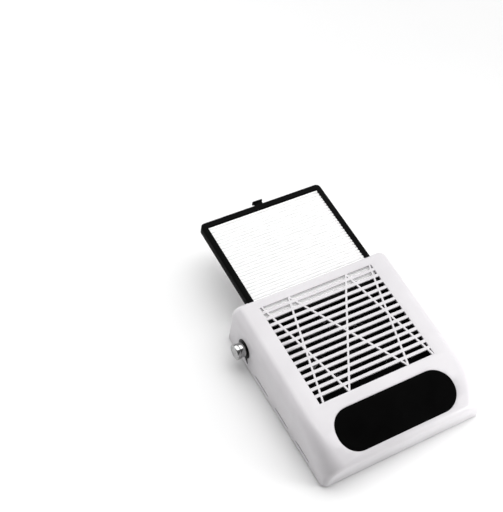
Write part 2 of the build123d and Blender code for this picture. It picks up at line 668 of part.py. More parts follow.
def preload_spring():
    """Wave washer between the bearings' outer rings and the tube's floor, drawn as a flat ring."""
    return ring(0, FAN_Y, SPRING_BOTTOM, SPRING_BOTTOM + 0.7, BEARING_OUTER - 0.1, BEARING_OUTER - 1.0)


def shaft_clip():
    z = SHAFT_BOTTOM + 0.85
    return ring(0, FAN_Y, z, z + 0.5, MOTOR_SHAFT + 0.9, MOTOR_SHAFT - 0.3)


def stator_core():
    """Laminated core with four poles."""
    inner = BEARING_OUTER + TUBE_WALL + FIT_GAP
    core = ring(0, FAN_Y, STATOR_BOTTOM, STATOR_TOP, inner + 2.2, inner)
    for i in range(STATOR_POLES):
        arm = block(inner + 1, STATOR_OUTER - 1, -POLE_WIDTH / 2, POLE_WIDTH / 2, STATOR_BOTTOM, STATOR_TOP)
        shoe = ring(0, 0, STATOR_BOTTOM, STATOR_TOP, STATOR_OUTER, STATOR_OUTER - SHOE)
        shoe &= block(0, STATOR_OUTER + 1, -8, 8, STATOR_BOTTOM, STATOR_TOP)
        core += Pos(0, FAN_Y, 0) * Rot(0, 0, i * 360 / STATOR_POLES) * (arm + shoe)
    return core


def stator_windings():
    """One coil round each pole."""
    inner = BEARING_OUTER + TUBE_WALL + FIT_GAP + 2.6
    half = POLE_WIDTH / 2 + 0.2
    outer = math.sqrt((STATOR_OUTER - SHOE) ** 2 - (half + WINDING) ** 2) - 0.2
    coils = []
    for i in range(STATOR_POLES):
        low, high = STATOR_BOTTOM - 0.2, STATOR_TOP + 0.2
        coil = block(inner, outer, -half - WINDING, half + WINDING, low - WINDING, high + WINDING)
        coil = fillet(coil.edges().filter_by(Axis.X), WINDING * 0.8)
        coil -= block(inner - 1, outer + 1, -half, half, low, high)
        coils.append(Pos(0, FAN_Y, 0) * Rot(0, 0, i * 360 / STATOR_POLES) * coil)
    return coils


def fan_circuit_board():
    z = FAN_BOTTOM + 2.3
    return ring(0, FAN_Y, z, z + 1.2, MAGNET_INNER - 1, BEARING_OUTER + TUBE_WALL + 0.2)


def fan_gasket():
    """Foam ring between the fan and the tray."""
    outline = extrude(RectangleRounded(FAN_SIZE - 2, FAN_SIZE - 2, 5), GASKET)
    gasket = Pos(0, FAN_Y, FAN_TOP) * outline - post(0, FAN_Y, FAN_TOP - 1, FAN_TOP + 2, FAN_BORE + 0.5)
    return gasket


def fan_screws():
    seat = Z_RIM + FAN_RECESS_DEPTH
    length = FAN_BOTTOM + FAN_FLANGE - seat
    return [screw(x, y, seat, length, FAN_PILOT - FIT_GAP, FAN_SCREW_HEAD, FAN_HEAD_HEIGHT, 1)
            for x, y in fan_corner_places()]


# ---- base ----
def board_corner_places():
    """The control board's four screw holes, as x and y."""
    across = BOARD_WIDTH / 2 - BOARD_HOLE_INSET
    along = BOARD_LENGTH / 2 - BOARD_HOLE_INSET
    return [(BOARD_X + sx * across, BOARD_Y + sy * along) for sx in (-1, 1) for sy in (-1, 1)]


def foot_places():
    """Name, x and y of each foot."""
    front = Y_FRONT + FOOT_FRONT_INSET
    back = Y_BACK - FOOT_BACK_INSET
    aside = BODY_WIDTH / 2 - FOOT_SIDE_INSET
    return [("front_left", -aside, front), ("front_right", aside, front),
            ("rear_left", -aside, back), ("rear_right", aside, back)]


def base_vents():
    """Rows of outlet slots under the fan, either side of a plain middle strip."""
    cuts = []
    for row in range(BASE_VENT_ROWS):
        y = FAN_Y + (row - (BASE_VENT_ROWS - 1) / 2) * BASE_VENT_PITCH
        reach = math.sqrt(max(0.0, BASE_VENT_OUTER ** 2 - (y - FAN_Y) ** 2))
        cuts += both_sides(block(BASE_VENT_INNER, reach, y - BASE_VENT_WIDTH / 2, y + BASE_VENT_WIDTH / 2,
                                 Z_RIM - 1, BASE_TOP + 1))
    return cuts


def base_cover():
    """Flat bottom with standoffs for the fan and the control board."""
    inset = WALL + SEAT_GAP
    plan = casing_block(inset) & block(-BODY_WIDTH, BODY_WIDTH, -BODY_LENGTH, BODY_LENGTH, Z_RIM, BASE_TOP)
    base = Part() + plan
    for x, y in fan_corner_places():
        base += post(x, y, BASE_TOP, FAN_BOTTOM, FAN_STANDOFF)
        base -= post(x, y, Z_RIM - 1, FAN_BOTTOM + 1, FAN_PILOT + SEAT_GAP)
        base -= post(x, y, Z_RIM - 1, Z_RIM + FAN_RECESS_DEPTH, FAN_RECESS)
    for x, y in board_corner_places():
        base += post(x, y, BASE_TOP, BASE_TOP + BOARD_LIFT, BOARD_STANDOFF)
        base -= post(x, y, BASE_TOP + 0.5, BASE_TOP + BOARD_LIFT + 1, BOARD_SCREW + FIT_GAP)
    for x, y in case_boss_places():
        base -= post(x, y, Z_RIM - 1, BASE_TOP + 1, CASE_SCREW + SEAT_GAP)
        base -= post(x, y, Z_RIM - 1, Z_RIM + CASE_RECESS_DEPTH, CASE_RECESS)
    for _, x, y in foot_places():
        base -= post(x, y, Z_RIM - 1, Z_RIM + FOOT_SUNK, FOOT_RADIUS + 0.1)
    for cut in base_vents():
        base -= cut
    return base


def casing_screws():
    seat = Z_RIM + CASE_RECESS_DEPTH
    return [screw(x, y, seat, CASE_SCREW_LENGTH, CASE_SCREW, CASE_SCREW_HEAD, CASE_HEAD_HEIGHT, 1)
            for x, y in case_boss_places()]


def rubber_foot(x, y):
    foot = post(x, y, 0, Z_RIM + FOOT_SUNK, FOOT_RADIUS)
    return chamfer(foot.edges().sort_by(Axis.Z)[0], 0.5)


# ---- speed control ----
WALL_X = -BODY_WIDTH / 2
KNOB_FACE = WALL_X - KNOB_STANDOUT
DIAL_FACE = WALL_X - DIAL_THICKNESS
WASHER_FACE = DIAL_FACE - WASHER
NUT_FACE = WASHER_FACE - POT_NUT
KNOB_BACK = WALL_X - KNOB_WALL_GAP
POT_BACK = -INNER_X + POT_BODY_DEPTH


def speed_knob():
    """Round metal knob: wide front cap, a groove, and a skirt over the nut."""
    cap_back = KNOB_FACE + KNOB_CAP
    skirt_front = cap_back + KNOB_NECK
    knob = rod_x(KNOB_FACE, cap_back, KNOB_Y, KNOB_Z, KNOB_RADIUS)
    knob = fillet(knob.edges().sort_by(Axis.X)[0], 1.2)
    knob += rod_x(cap_back - 1, skirt_front + 1, KNOB_Y, KNOB_Z, KNOB_RADIUS - 1.6)
    knob += rod_x(skirt_front, KNOB_BACK, KNOB_Y, KNOB_Z, KNOB_RADIUS - 0.7)
    knob -= rod_x(NUT_FACE - 0.9, KNOB_BACK + 1, KNOB_Y, KNOB_Z, POT_NUT_FLATS / 2 / math.cos(math.pi / 6) + 0.6)
    knob -= rod_x(KNOB_FACE + 3, KNOB_BACK + 1, KNOB_Y, KNOB_Z, POT_SHAFT + 0.02)
    knob -= rod_x(KNOB_FACE - 1, KNOB_FACE + 0.5, KNOB_Y, KNOB_Z, KNOB_RADIUS - 3.2)
    knob -= post(SET_SCREW_X, KNOB_Y, KNOB_Z - KNOB_RADIUS - 1, KNOB_Z, SET_SCREW + FIT_GAP)
    return knob


SET_SCREW_X = NUT_FACE - 3.0


def knob_set_screw():
    """Grub screw from below, onto the shaft."""
    low = KNOB_Z - KNOB_RADIUS + 1.4
    grub = post(SET_SCREW_X, KNOB_Y, low, KNOB_Z - POT_SHAFT - 0.02, SET_SCREW)
    key = Pos(SET_SCREW_X, KNOB_Y, low) * extrude(RegularPolygon(0.6, 6), 1.5)
    return grub - key


def dial_plate():
    """Black ring behind the knob, with a thin tail that marks the low-speed end."""
    turn = math.radians(DIAL_TAIL_ANGLE)
    plate = rod_x(WALL_X, DIAL_FACE, KNOB_Y, KNOB_Z, DIAL_RADIUS)
    half = math.radians(14)
    reach = DIAL_RADIUS - 1
    points = [(reach * math.cos(turn - half), reach * math.sin(turn - half)),
              (DIAL_TAIL_REACH * math.cos(turn), DIAL_TAIL_REACH * math.sin(turn)),
              (reach * math.cos(turn + half), reach * math.sin(turn + half))]
    tail = make_face(Polyline(points, close=True))
    plane = Plane((WALL_X, KNOB_Y, KNOB_Z), x_dir=(0, 1, 0), z_dir=(1, 0, 0))
    plate += plane.location * extrude(tail, -DIAL_THICKNESS)
    return plate - rod_x(WALL_X + 1, DIAL_FACE - 1, KNOB_Y, KNOB_Z, POT_BUSHING + FIT_GAP)


def potentiometer_body():
    """Potentiometer's can and its threaded bushing, which goes through the wall."""
    can = rod_x(-INNER_X, POT_BACK, KNOB_Y, KNOB_Z, POT_BODY_RADIUS)
    can += rod_x(-INNER_X + 1, NUT_FACE - 0.3, KNOB_Y, KNOB_Z, POT_BUSHING)
    return can - rod_x(-INNER_X + 5, NUT_FACE - 3, KNOB_Y, KNOB_Z, POT_SHAFT + FIT_GAP)


def potentiometer_shaft():
    return rod_x(-INNER_X + 4.9, KNOB_FACE + 3.05, KNOB_Y, KNOB_Z, POT_SHAFT)


def potentiometer_washer():
    washer = rod_x(DIAL_FACE, WASHER_FACE, KNOB_Y, KNOB_Z, WASHER_RADIUS)
    return washer - rod_x(WALL_X, NUT_FACE, KNOB_Y, KNOB_Z, POT_BUSHING + FIT_GAP)


def hex_x(x0, x1, y, z, flats, bore):
    """A hexagon nut along X."""
    plane = Plane((min(x0, x1), y, z), x_dir=(0, 1, 0), z_dir=(1, 0, 0))
    nut = plane.location * extrude(RegularPolygon(flats / 2, 6, major_radius=False), abs(x1 - x0))
    return nut - rod_x(x0 - 5, x1 + 5, y, z, bore)


def potentiometer_nut():
    return hex_x(NUT_FACE, WASHER_FACE, KNOB_Y, KNOB_Z, POT_NUT_FLATS, POT_BUSHING + FIT_GAP)


TAG_BOTTOM = KNOB_Z - POT_BODY_RADIUS - TAG_DROP


def potentiometer_terminals():
    """Three solder tags below the can."""
    x = -INNER_X + 3
    tags = []
    for step in (-1, 0, 1):
        y = KNOB_Y + step * TAG_PITCH
        nearest = abs(step) * TAG_PITCH - TAG_WIDTH / 2 if step else 0
        top = KNOB_Z - math.sqrt(POT_BODY_RADIUS ** 2 - nearest ** 2) - FIT_GAP
        tags.append(block(x, x + TAG_THICKNESS, y - TAG_WIDTH / 2, y + TAG_WIDTH / 2, TAG_BOTTOM, top))
    return tags


# ---- control board ----
BOARD_BOTTOM = BASE_TOP + BOARD_LIFT
BOARD_TOP = BOARD_BOTTOM + BOARD_THICKNESS


def control_board():
    board = block(BOARD_X - BOARD_WIDTH / 2, BOARD_X + BOARD_WIDTH / 2, BOARD_Y - BOARD_LENGTH / 2,
                  BOARD_Y + BOARD_LENGTH / 2, BOARD_BOTTOM, BOARD_TOP)
    for x, y in board_corner_places():
        board -= post(x, y, BOARD_BOTTOM - 1, BOARD_TOP + 1, BOARD_SCREW + SEAT_GAP)
    return board


def board_screws():
    length = BOARD_THICKNESS + BOARD_SCREW_BITE
    return [screw(x, y, BOARD_TOP, length, BOARD_SCREW, BOARD_SCREW_HEAD, BOARD_HEAD_HEIGHT, -1)
            for x, y in board_corner_places()]


def speed_controller_chip():
    y0 = BOARD_Y + 4
    return block(BOARD_X - CHIP_WIDTH / 2, BOARD_X + CHIP_WIDTH / 2, y0, y0 + CHIP_LENGTH,
                 BOARD_TOP, BOARD_TOP + CHIP_HEIGHT)


TRANSISTOR_BACK = BOARD_X + 7.5         # the face that the heat sink is screwed to


def power_transistor():
    middle = BOARD_Y - 10
    return block(TRANSISTOR_BACK - TRANSISTOR_WIDTH, TRANSISTOR_BACK, middle - TRANSISTOR_LENGTH / 2,
                 middle + TRANSISTOR_LENGTH / 2, BOARD_TOP, BOARD_TOP + TRANSISTOR_HEIGHT)


def heat_sink():
    """Finned block screwed to the transistor's back."""
    x0 = TRANSISTOR_BACK
    y0 = BOARD_Y - 18
    high = BOARD_TOP + SINK_HEIGHT
    sink = block(x0, x0 + SINK_PLATE, y0, y0 + SINK_LENGTH, BOARD_TOP, high)
    for i in range(SINK_FINS):
        fin = y0 + i * SINK_PITCH
        sink += block(x0 + SINK_PLATE / 2, x0 + SINK_DEPTH, fin, fin + SINK_FIN, BOARD_TOP, high)
    return sink


def board_capacitors():
    big = [post(BOARD_X - 8, BOARD_Y + along, BOARD_TOP, BOARD_TOP + BIG_CAPACITOR_HEIGHT, BIG_CAPACITOR)
           for along in (-16, -5)]
    small = post(BOARD_X + 8, BOARD_Y + 6, BOARD_TOP, BOARD_TOP + SMALL_CAPACITOR_HEIGHT, SMALL_CAPACITOR)
    return big + [small]


CONNECTOR_Z = BOARD_TOP + LEAD_LEVEL
CONNECTOR_BACK = BOARD_Y + BOARD_LENGTH / 2 - 9


def board_connectors():
    """Plug housings: knob and inlet at the back edge, fan at the inner edge."""
    half = PLUG_SIZE / 2
    high = BOARD_TOP + PLUG_HEIGHT
    parts = [block(x - half, x + half, CONNECTOR_BACK - PLUG_SIZE, CONNECTOR_BACK, BOARD_TOP, high)
             for x in (DIAL_LEAD_X, INLET_LEAD_X)]
    parts.append(block(FAN_PLUG_X - PLUG_SIZE, FAN_PLUG_X, FAN_LEAD_Y - half, FAN_LEAD_Y + half, BOARD_TOP, high))
    return parts


DIAL_LEAD_X = BOARD_X - 5.5
INLET_LEAD_X = BOARD_X + 4.5
FAN_LEAD_Y = BOARD_Y - 24.5
FAN_PLUG_X = BOARD_X + 11


# ---- power inlet ----
def power_inlet():
    """Round low-voltage socket with a threaded body through the back wall."""
    inner = Y_BACK - WALL
    socket = rod_y(JACK_X, Y_BACK, Y_BACK + 1.2, JACK_Z, JACK_FLANGE)
    socket += rod_y(JACK_X, Y_BACK - JACK_DEPTH, Y_BACK + 0.5, JACK_Z, JACK_BODY)
    socket -= rod_y(JACK_X, Y_BACK - 9.5, Y_BACK + 2, JACK_Z, JACK_SOCKET)
    return socket - rod_y(JACK_X, inner - JACK_DEPTH - 1, Y_BACK - 9, JACK_Z, JACK_PIN)


def power_inlet_pin():
    return rod_y(JACK_X, Y_BACK - JACK_DEPTH, Y_BACK - 0.5, JACK_Z, JACK_PIN)


def power_inlet_nut():
    inner = Y_BACK - WALL
    plane = Plane((JACK_X, inner, JACK_Z), x_dir=(1, 0, 0), z_dir=(0, -1, 0))
    nut = plane.location * extrude(RegularPolygon(JACK_NUT_FLATS / 2, 6, major_radius=False), 2.4)
    return nut - rod_y(JACK_X, inner - 5, inner + 1, JACK_Z, JACK_BODY + FIT_GAP)


# ---- leads ----
def lead(points, radii):
    """A round lead along straight runs joined by tangent arcs."""
    path = FilletPolyline(*points, radius=radii)
    start = path.edges()[0]
    plane = Plane(start @ 0, z_dir=start % 0)
    tube = sweep(plane * Circle(LEAD_RADIUS), path=path)
    expected = math.pi * LEAD_RADIUS ** 2 * path.length
    print(f"lead {path.length:.1f} mm, volume share {tube.volume / expected:.4f}")
    return tube


def arc_radii(points):
    """The largest arc that each corner's two runs allow, a little short of meeting."""
    radii = []
    for a, b, c in zip(points, points[1:], points[2:]):
        u, v = Vector(*b) - Vector(*a), Vector(*c) - Vector(*b)
        half = math.radians(u.get_angle(v)) / 2
        radii.append(round(0.45 * min(u.length, v.length) / math.tan(half), 2))
    print("lead arcs", radii)
    return radii


def power_lead():
    """From the inlet's tail to the control board."""
    points = [(JACK_X, Y_BACK - JACK_DEPTH - 0.3, JACK_Z), (JACK_X, Y_BACK - 29, JACK_Z),
              (INLET_LEAD_X, Y_BACK - 50, CONNECTOR_Z), (INLET_LEAD_X, CONNECTOR_BACK + 0.3, CONNECTOR_Z)]
    return lead(points, arc_radii(points))


def dial_lead():
    """From the potentiometer's tags to the control board."""
    x = -INNER_X + 3.4
    low = TAG_BOTTOM - 0.8
    points = [(x, KNOB_Y, low), (x + 1, KNOB_Y - 4, low - 5), (x + 8, KNOB_Y - 17, low - 2),
              (DIAL_LEAD_X, KNOB_Y - 31, CONNECTOR_Z), (DIAL_LEAD_X, CONNECTOR_BACK + 0.3, CONNECTOR_Z)]
    return lead(points, arc_radii(points))


def fan_lead():
    """From the fan's edge to the control board."""
    x = -FAN_SIZE / 2
    z = FAN_BOTTOM + FAN_FLANGE + LEAD_RADIUS + 0.3
    points = [(x + 5, FAN_Y - 44, z), (x - 1, FAN_Y - 46.5, z), (FAN_PLUG_X + 4, FAN_LEAD_Y, CONNECTOR_Z),
              (FAN_PLUG_X + 0.3, FAN_LEAD_Y, CONNECTOR_Z)]
    return lead(points, arc_radii(points))


# ---- everything ----
def nodes():
    """Every node's name and its solid, or list of solids."""
    made = {
        "upper_casing": upper_casing(), "intake_grille": intake_grille(), "palm_rest": palm_rest(),
        "base_cover": base_cover(), "casing_screws": casing_screws(),
        "filter_tray": filter_tray(), "tray_screws": tray_screws(),
        "filter_frame": filter_frame(), "filter_media": filter_media(),
        "fan_frame": fan_frame(), "fan_impeller": fan_impeller(), "rotor_cup": rotor_cup(),
        "rotor_magnet": rotor_magnet(), "fan_shaft": fan_shaft(),
        "bearing_outer_rings": bearing_outer_rings(), "bearing_inner_rings": bearing_inner_rings(),
        "bearing_balls": bearing_balls(), "preload_spring": preload_spring(), "shaft_clip": shaft_clip(),
        "stator_core": stator_core(), "stator_windings": stator_windings(),
        "fan_circuit_board": fan_circuit_board(), "fan_gasket": fan_gasket(), "fan_screws": fan_screws(),
        "speed_knob": speed_knob(), "knob_set_screw": knob_set_screw(), "dial_plate": dial_plate(),
        "potentiometer_body": potentiometer_body(), "potentiometer_shaft": potentiometer_shaft(),
        "potentiometer_washer": potentiometer_washer(), "potentiometer_nut": potentiometer_nut(),
        "potentiometer_terminals": potentiometer_terminals(),
        "control_board": control_board(), "board_screws": board_screws(),
        "speed_controller_chip": speed_controller_chip(), "power_transistor": power_transistor(),
        "heat_sink": heat_sink(), "board_capacitors": board_capacitors(),
        "board_connectors": board_connectors(),
        "power_inlet": power_inlet(), "power_inlet_pin": power_inlet_pin(),
        "power_inlet_nut": power_inlet_nut(),
        "power_lead": power_lead(), "dial_lead": dial_lead(), "fan_lead": fan_lead(),
    }
    for name, x, y in foot_places():
        made[f"rubber_foot_{name}"] = rubber_foot(x, y)
    return made


def main():
    os.makedirs("parts", exist_ok=True)
    for name, shape in nodes().items():
        if isinstance(shape, list):
            shape = Compound(children=[piece for part in shape for piece in part.solids()])
        export_step(shape, f"parts/{name}.step")


main()
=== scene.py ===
"""Desktop nail dust collector: its looks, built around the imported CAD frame.

A low white casing with a slatted intake grille, a soft palm rest on the sloping front, a pleated
filter in a pull-out drawer, a fan under the grille and a chrome speed knob on the left side.
Everything is in metres, in the frame of the CAD model.
"""

import logging
import math
from abc import ABC, abstractmethod
from dataclasses import dataclass, field
from enum import Enum

import bmesh
import bpy
import numpy as np
from mathutils import Matrix, Vector


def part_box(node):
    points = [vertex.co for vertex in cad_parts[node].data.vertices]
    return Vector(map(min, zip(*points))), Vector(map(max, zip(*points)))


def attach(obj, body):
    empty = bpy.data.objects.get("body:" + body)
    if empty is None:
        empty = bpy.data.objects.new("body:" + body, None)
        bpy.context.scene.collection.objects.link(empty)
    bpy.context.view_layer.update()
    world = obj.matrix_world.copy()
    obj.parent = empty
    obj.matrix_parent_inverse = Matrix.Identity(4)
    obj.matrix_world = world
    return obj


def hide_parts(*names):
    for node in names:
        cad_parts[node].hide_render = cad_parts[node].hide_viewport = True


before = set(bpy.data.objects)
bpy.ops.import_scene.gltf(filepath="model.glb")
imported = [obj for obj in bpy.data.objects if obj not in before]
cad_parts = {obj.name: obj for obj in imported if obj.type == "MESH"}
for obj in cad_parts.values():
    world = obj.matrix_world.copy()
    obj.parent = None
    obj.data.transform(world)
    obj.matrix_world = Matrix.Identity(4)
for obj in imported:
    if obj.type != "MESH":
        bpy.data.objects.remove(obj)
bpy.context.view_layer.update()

MM = 0.001
TAU = 2 * math.pi
SAME_POINT = 1e-7

Colour = tuple[float, float, float, float]
Triple = tuple[float, float, float]
Socket = bpy.types.NodeSocket
Material = bpy.types.Material
Piece = bpy.types.Object
Value = float | Triple | Colour | Socket

log = logging.getLogger("dust_collector")


def grey(level: float, warmth: float = 0.0) -> Colour:
    """A neutral colour of that level, made warmer or cooler by the warmth."""
    return (level * (1 + warmth), level, level * (1 - warmth), 1.0)


class Axis(Enum):
    """A direction of the model, as the number of its coordinate."""

    X = 0
    Y = 1
    Z = 2


class Edge(Enum):
    """How far a CAD piece's sharp edges are rounded off, in metres."""

    CRISP = 0.00012
    MOULDED = 0.0003


# ---- materials ----
class Graph:
    """One node material being built round its Principled shader."""

    def __init__(self, name: str) -> None:
        """Starts the material.

        Args:
            name: The material's name.
        """
        self.material = bpy.data.materials.new(name)
        self.material.use_nodes = True
        self.tree = self.material.node_tree
        self.shader = next(n for n in self.tree.nodes if n.type == "BSDF_PRINCIPLED")
        self.place = self.node("ShaderNodeTexCoord").outputs["Object"]

    def node(self, kind: str, feeds: dict | None = None, **settings) -> bpy.types.Node:
        """Adds a node.

        Args:
            kind: The node's type name.
            feeds: What goes into its sockets, by name or number: a value, or another node's output.
            **settings: The node's own properties.

        Returns:
            The new node.
        """
        made = self.tree.nodes.new(kind)
        for key, value in settings.items():
            setattr(made, key, value)
        for key, value in (feeds or {}).items():
            self.feed(made.inputs[key], value)
        return made

    def feed(self, socket: Socket, value: Value) -> None:
        """Links an output to a socket, or sets the socket's own value.

        Args:
            socket: The socket.
            value: A constant, or another node's output.
        """
        if isinstance(value, bpy.types.NodeSocket):
            self.tree.links.new(value, socket)
        else:
            socket.default_value = value

    def set(self, **values: float | Triple | Colour) -> None:
        """Sets constants on the shader's own sockets, with _ for a space in their names."""
        for key, value in values.items():
            self.shader.inputs[key.replace("_", " ")].default_value = value

    def drive(self, socket: str, value: Socket) -> None:
        """Links an output to one of the shader's own sockets."""
        self.tree.links.new(value, self.shader.inputs[socket])

    def vector(self, operation: str, first: Socket, second: Triple = (0, 0, 0)) -> bpy.types.Node:
        """One sum on two vectors."""
        return self.node("ShaderNodeVectorMath", {0: first, 1: second}, operation=operation)

    def stretched(self, stretch: Triple, turn: Triple = (0, 0, 0)) -> Socket:
        """Object coordinates turned, then scaled along each axis.

        Args:
            stretch: Scale along X, Y and Z.
            turn: Turn about X, Y and Z, in radians.

        Returns:
            The coordinates.
        """
        feeds = {"Vector": self.place, "Rotation": turn, "Scale": stretch}
        return self.node("ShaderNodeMapping", feeds).outputs[0]

    def noise(self, size: float, detail: float = 3.0, place: Socket | None = None,
              wobble: float = 0.0) -> Socket:
        """A soft random field.

        Args:
            size: Metres across one blotch.
            detail: Octaves of finer structure.
            place: Coordinates, or None for the piece's own.
            wobble: How far the field is pushed about by itself.

        Returns:
            The field, from 0 to 1 about 0.5.
        """
        feeds = {"Vector": place or self.place, "Scale": 1 / size, "Detail": detail, "Distortion": wobble}
        return self.node("ShaderNodeTexNoise", feeds).outputs["Fac"]

    def cells(self, size: float, place: Socket | None = None, feature: str = "F1") -> Socket:
        """Distance to the nearest of many scattered points, for grains, pores and flecks.

        Args:
            size: Metres between points.
            place: Coordinates, or None for the piece's own.
            feature: Which distance, as the Voronoi node names it.

        Returns:
            The distance, in units of size.
        """
        feeds = {"Vector": place or self.place, "Scale": 1 / size}
        return self.node("ShaderNodeTexVoronoi", feeds, feature=feature).outputs["Distance"]

    def math(self, operation: str, first: float | Socket, second: float | Socket = 0.0) -> Socket:
        """One sum on two values or outputs."""
        return self.node("ShaderNodeMath", {0: first, 1: second}, operation=operation).outputs[0]

    def fit(self, value: Socket, low: float, high: float, to_low: float, to_high: float) -> Socket:
        """Carries the range low to high over to another range, without overshoot."""
        feeds = {"Value": value, "From Min": low, "From Max": high, "To Min": to_low, "To Max": to_high}
        return self.node("ShaderNodeMapRange", feeds).outputs["Result"]

    def blend(self, share: Socket, first: Colour | Socket, second: Colour | Socket) -> Socket:
        """Mixes two colours or colour outputs by share."""
        return self.node("ShaderNodeMix", {0: share, 6: first, 7: second}, data_type="RGBA").outputs[2]

    def along(self, axis: Axis, place: Socket | None = None) -> Socket:
        """One coordinate on its own."""
        split = self.node("ShaderNodeSeparateXYZ", {"Vector": place or self.place})
        return split.outputs[axis.value]

    def from_line(self, axis: Axis, centre: Triple) -> Socket:
        """Distance from a line along an axis.

        Args:
            axis: The line's direction.
            centre: A point on it.

        Returns:
            The distance, in metres.
        """
        keep = tuple(0.0 if i == axis.value else 1.0 for i in range(3))
        moved = self.vector("SUBTRACT", self.place, centre).outputs[0]
        flat = self.vector("MULTIPLY", moved, keep).outputs[0]
        return self.vector("LENGTH", flat).outputs["Value"]

    def stripes(self, value: Socket, pitch: float) -> Socket:
        """Smooth stripes: half of one plus the sine of the value's turns through the pitch."""
        turns = self.math("MULTIPLY", value, TAU / pitch)
        return self.math("MULTIPLY_ADD", self.math("SINE", turns), 0.5)

    def relief(self, height: Socket, depth: float, strength: float = 1.0,
               under: Socket | None = None) -> Socket:
        """Bumps the surface by a height field.

        Args:
            height: The field, from 0 to 1.
            depth: Metres that 1 stands for.
            strength: Share of the effect.
            under: A coarser relief that this one lies on.

        Returns:
            The new normal.
        """
        feeds = {"Height": height, "Distance": depth, "Strength": strength}
        if under is not None:
            feeds["Normal"] = under
        return self.node("ShaderNodeBump", feeds).outputs["Normal"]


@dataclass(frozen=True)
class Finish(ABC):
    """A finish: its name and what every finish shares.

    Attributes:
        name: The material's name.
        dark: Colour in the darker blotches.
        light: Colour in the lighter ones.
        rough_low: Least roughness.
        rough_high: Greatest roughness.
    """

    name: str
    dark: Colour
    light: Colour
    rough_low: float
    rough_high: float

    def make(self) -> Material:
        """Makes the finish as a material, once, and then reuses it.

        Returns:
            The material.
        """
        known = bpy.data.materials.get(self.name)
        if known is not None:
            return known
        graph = Graph(self.name)
        self.paint(graph)
        return graph.material

    @abstractmethod
    def paint(self, graph: Graph) -> None:
        """Builds the node tree."""

    def tone(self, graph: Graph, share: Socket) -> None:
        """Spreads the two colours by share."""
        graph.drive("Base Color", graph.blend(share, self.dark, self.light))

    def tone_twice(self, graph: Graph, first: Socket, second: Socket) -> None:
        """Spreads the two colours by two shares at once."""
        self.tone(graph, graph.math("MULTIPLY", first, second))

    def polish(self, graph: Graph, share: Socket) -> None:
        """Spreads the roughness by share."""
        graph.drive("Roughness", graph.fit(share, 0.3, 0.7, self.rough_low, self.rough_high))


@dataclass(frozen=True)
class MouldedPlastic(Finish):
    """Injection-moulded plastic: faint flow marks, a fine spark-eroded grain and slow waviness.

    Attributes:
        grain: Metres across one grain.
        depth: Metres of grain relief.
        wave: Metres of slow waviness, as sink marks leave it.
        gloss: Weight of a thin clear skin.
        shine: Specular level.
    """

    grain: float = 0.00035
    depth: float = 0.000012
    wave: float = 0.00004
    gloss: float = 0.0
    shine: float = 0.5

    def paint(self, graph: Graph) -> None:
        """Builds the node tree.

        Args:
            graph: The material being built.
        """
        flow = graph.noise(0.055, 4.0, wobble=0.6)
        smudge = graph.noise(0.012, 5.0)
        self.tone(graph, graph.fit(flow, 0.35, 0.65, 0.0, 1.0))
        self.polish(graph, smudge)
        slow = graph.relief(graph.noise(0.02, 1.0), self.wave, 0.35)
        fine = graph.relief(graph.cells(self.grain), self.depth, 0.5, slow)
        graph.drive("Normal", fine)
        graph.set(Coat_Weight=self.gloss, Coat_Roughness=0.12, IOR=1.5, Specular_IOR_Level=self.shine)


@dataclass(frozen=True)
class SoftTouch(Finish):
    """Matte silicone skin: pebbled grain, dust-catching sheen and faint rubbed patches.

    Attributes:
        grain: Metres across one pebble.
        depth: Metres of pebble relief.
        sheen: Weight of the soft edge sheen.
        shine: Specular level.
    """

    grain: float = 0.0006
    depth: float = 0.00002
    sheen: float = 0.01
    shine: float = 0.1

    def paint(self, graph: Graph) -> None:
        """Builds the node tree.

        Args:
            graph: The material being built.
        """
        rubbed = graph.noise(0.03, 3.0, wobble=0.4)
        self.tone(graph, graph.fit(rubbed, 0.35, 0.7, 0.0, 1.0))
        self.polish(graph, rubbed)
        pebble = graph.relief(graph.cells(self.grain, feature="SMOOTH_F1"), self.depth, 0.6)
        fine = graph.relief(graph.noise(self.grain / 4, 2.0), self.depth / 3, 0.4, pebble)
        graph.drive("Normal", fine)
        graph.set(Sheen_Weight=self.sheen, Sheen_Roughness=0.5, Specular_IOR_Level=self.shine)


@dataclass(frozen=True)
class FilterPaper(Finish):
    """Glass-and-cellulose filter paper: crossing fibres, small flecks and a painted glow, a faint white
    emission though the paper is no lamp.

    Attributes:
        fibre: Metres across one fibre.
        depth: Metres of fibre relief.
        painted_glow: Strength of a painted glow, a white emission that brightens the sheet in place of light
            through it from the folds beside it.
    """

    fibre: float = 0.00018
    depth: float = 0.00003
    painted_glow: float = 0.11

    def paint(self, graph: Graph) -> None:
        """Builds the node tree.

        Args:
            graph: The material being built.
        """
        first = graph.noise(self.fibre, 2.0, graph.stretched((0.12, 1, 1), (0, 0, 0.5)))
        second = graph.noise(self.fibre, 2.0, graph.stretched((1, 0.12, 1), (0, 0, -0.4)))
        mesh = graph.math("MAXIMUM", first, second)
        cloud = graph.noise(0.006, 4.0)
        self.tone(graph, graph.fit(graph.math("MULTIPLY", mesh, cloud), 0.15, 0.4, 0.0, 1.0))
        self.polish(graph, cloud)
        graph.drive("Normal", graph.relief(mesh, self.depth, 0.5))
        # Painted glow: a faint white emission brightens the paper and its folds, though the paper is no
        # lamp.
        graph.set(Subsurface_Weight=0.5, Subsurface_Scale=0.003, Subsurface_Radius=(1.0, 1.0, 1.0),
                  Specular_IOR_Level=0.2, Emission_Color=(1, 1, 1, 1), Emission_Strength=self.painted_glow)


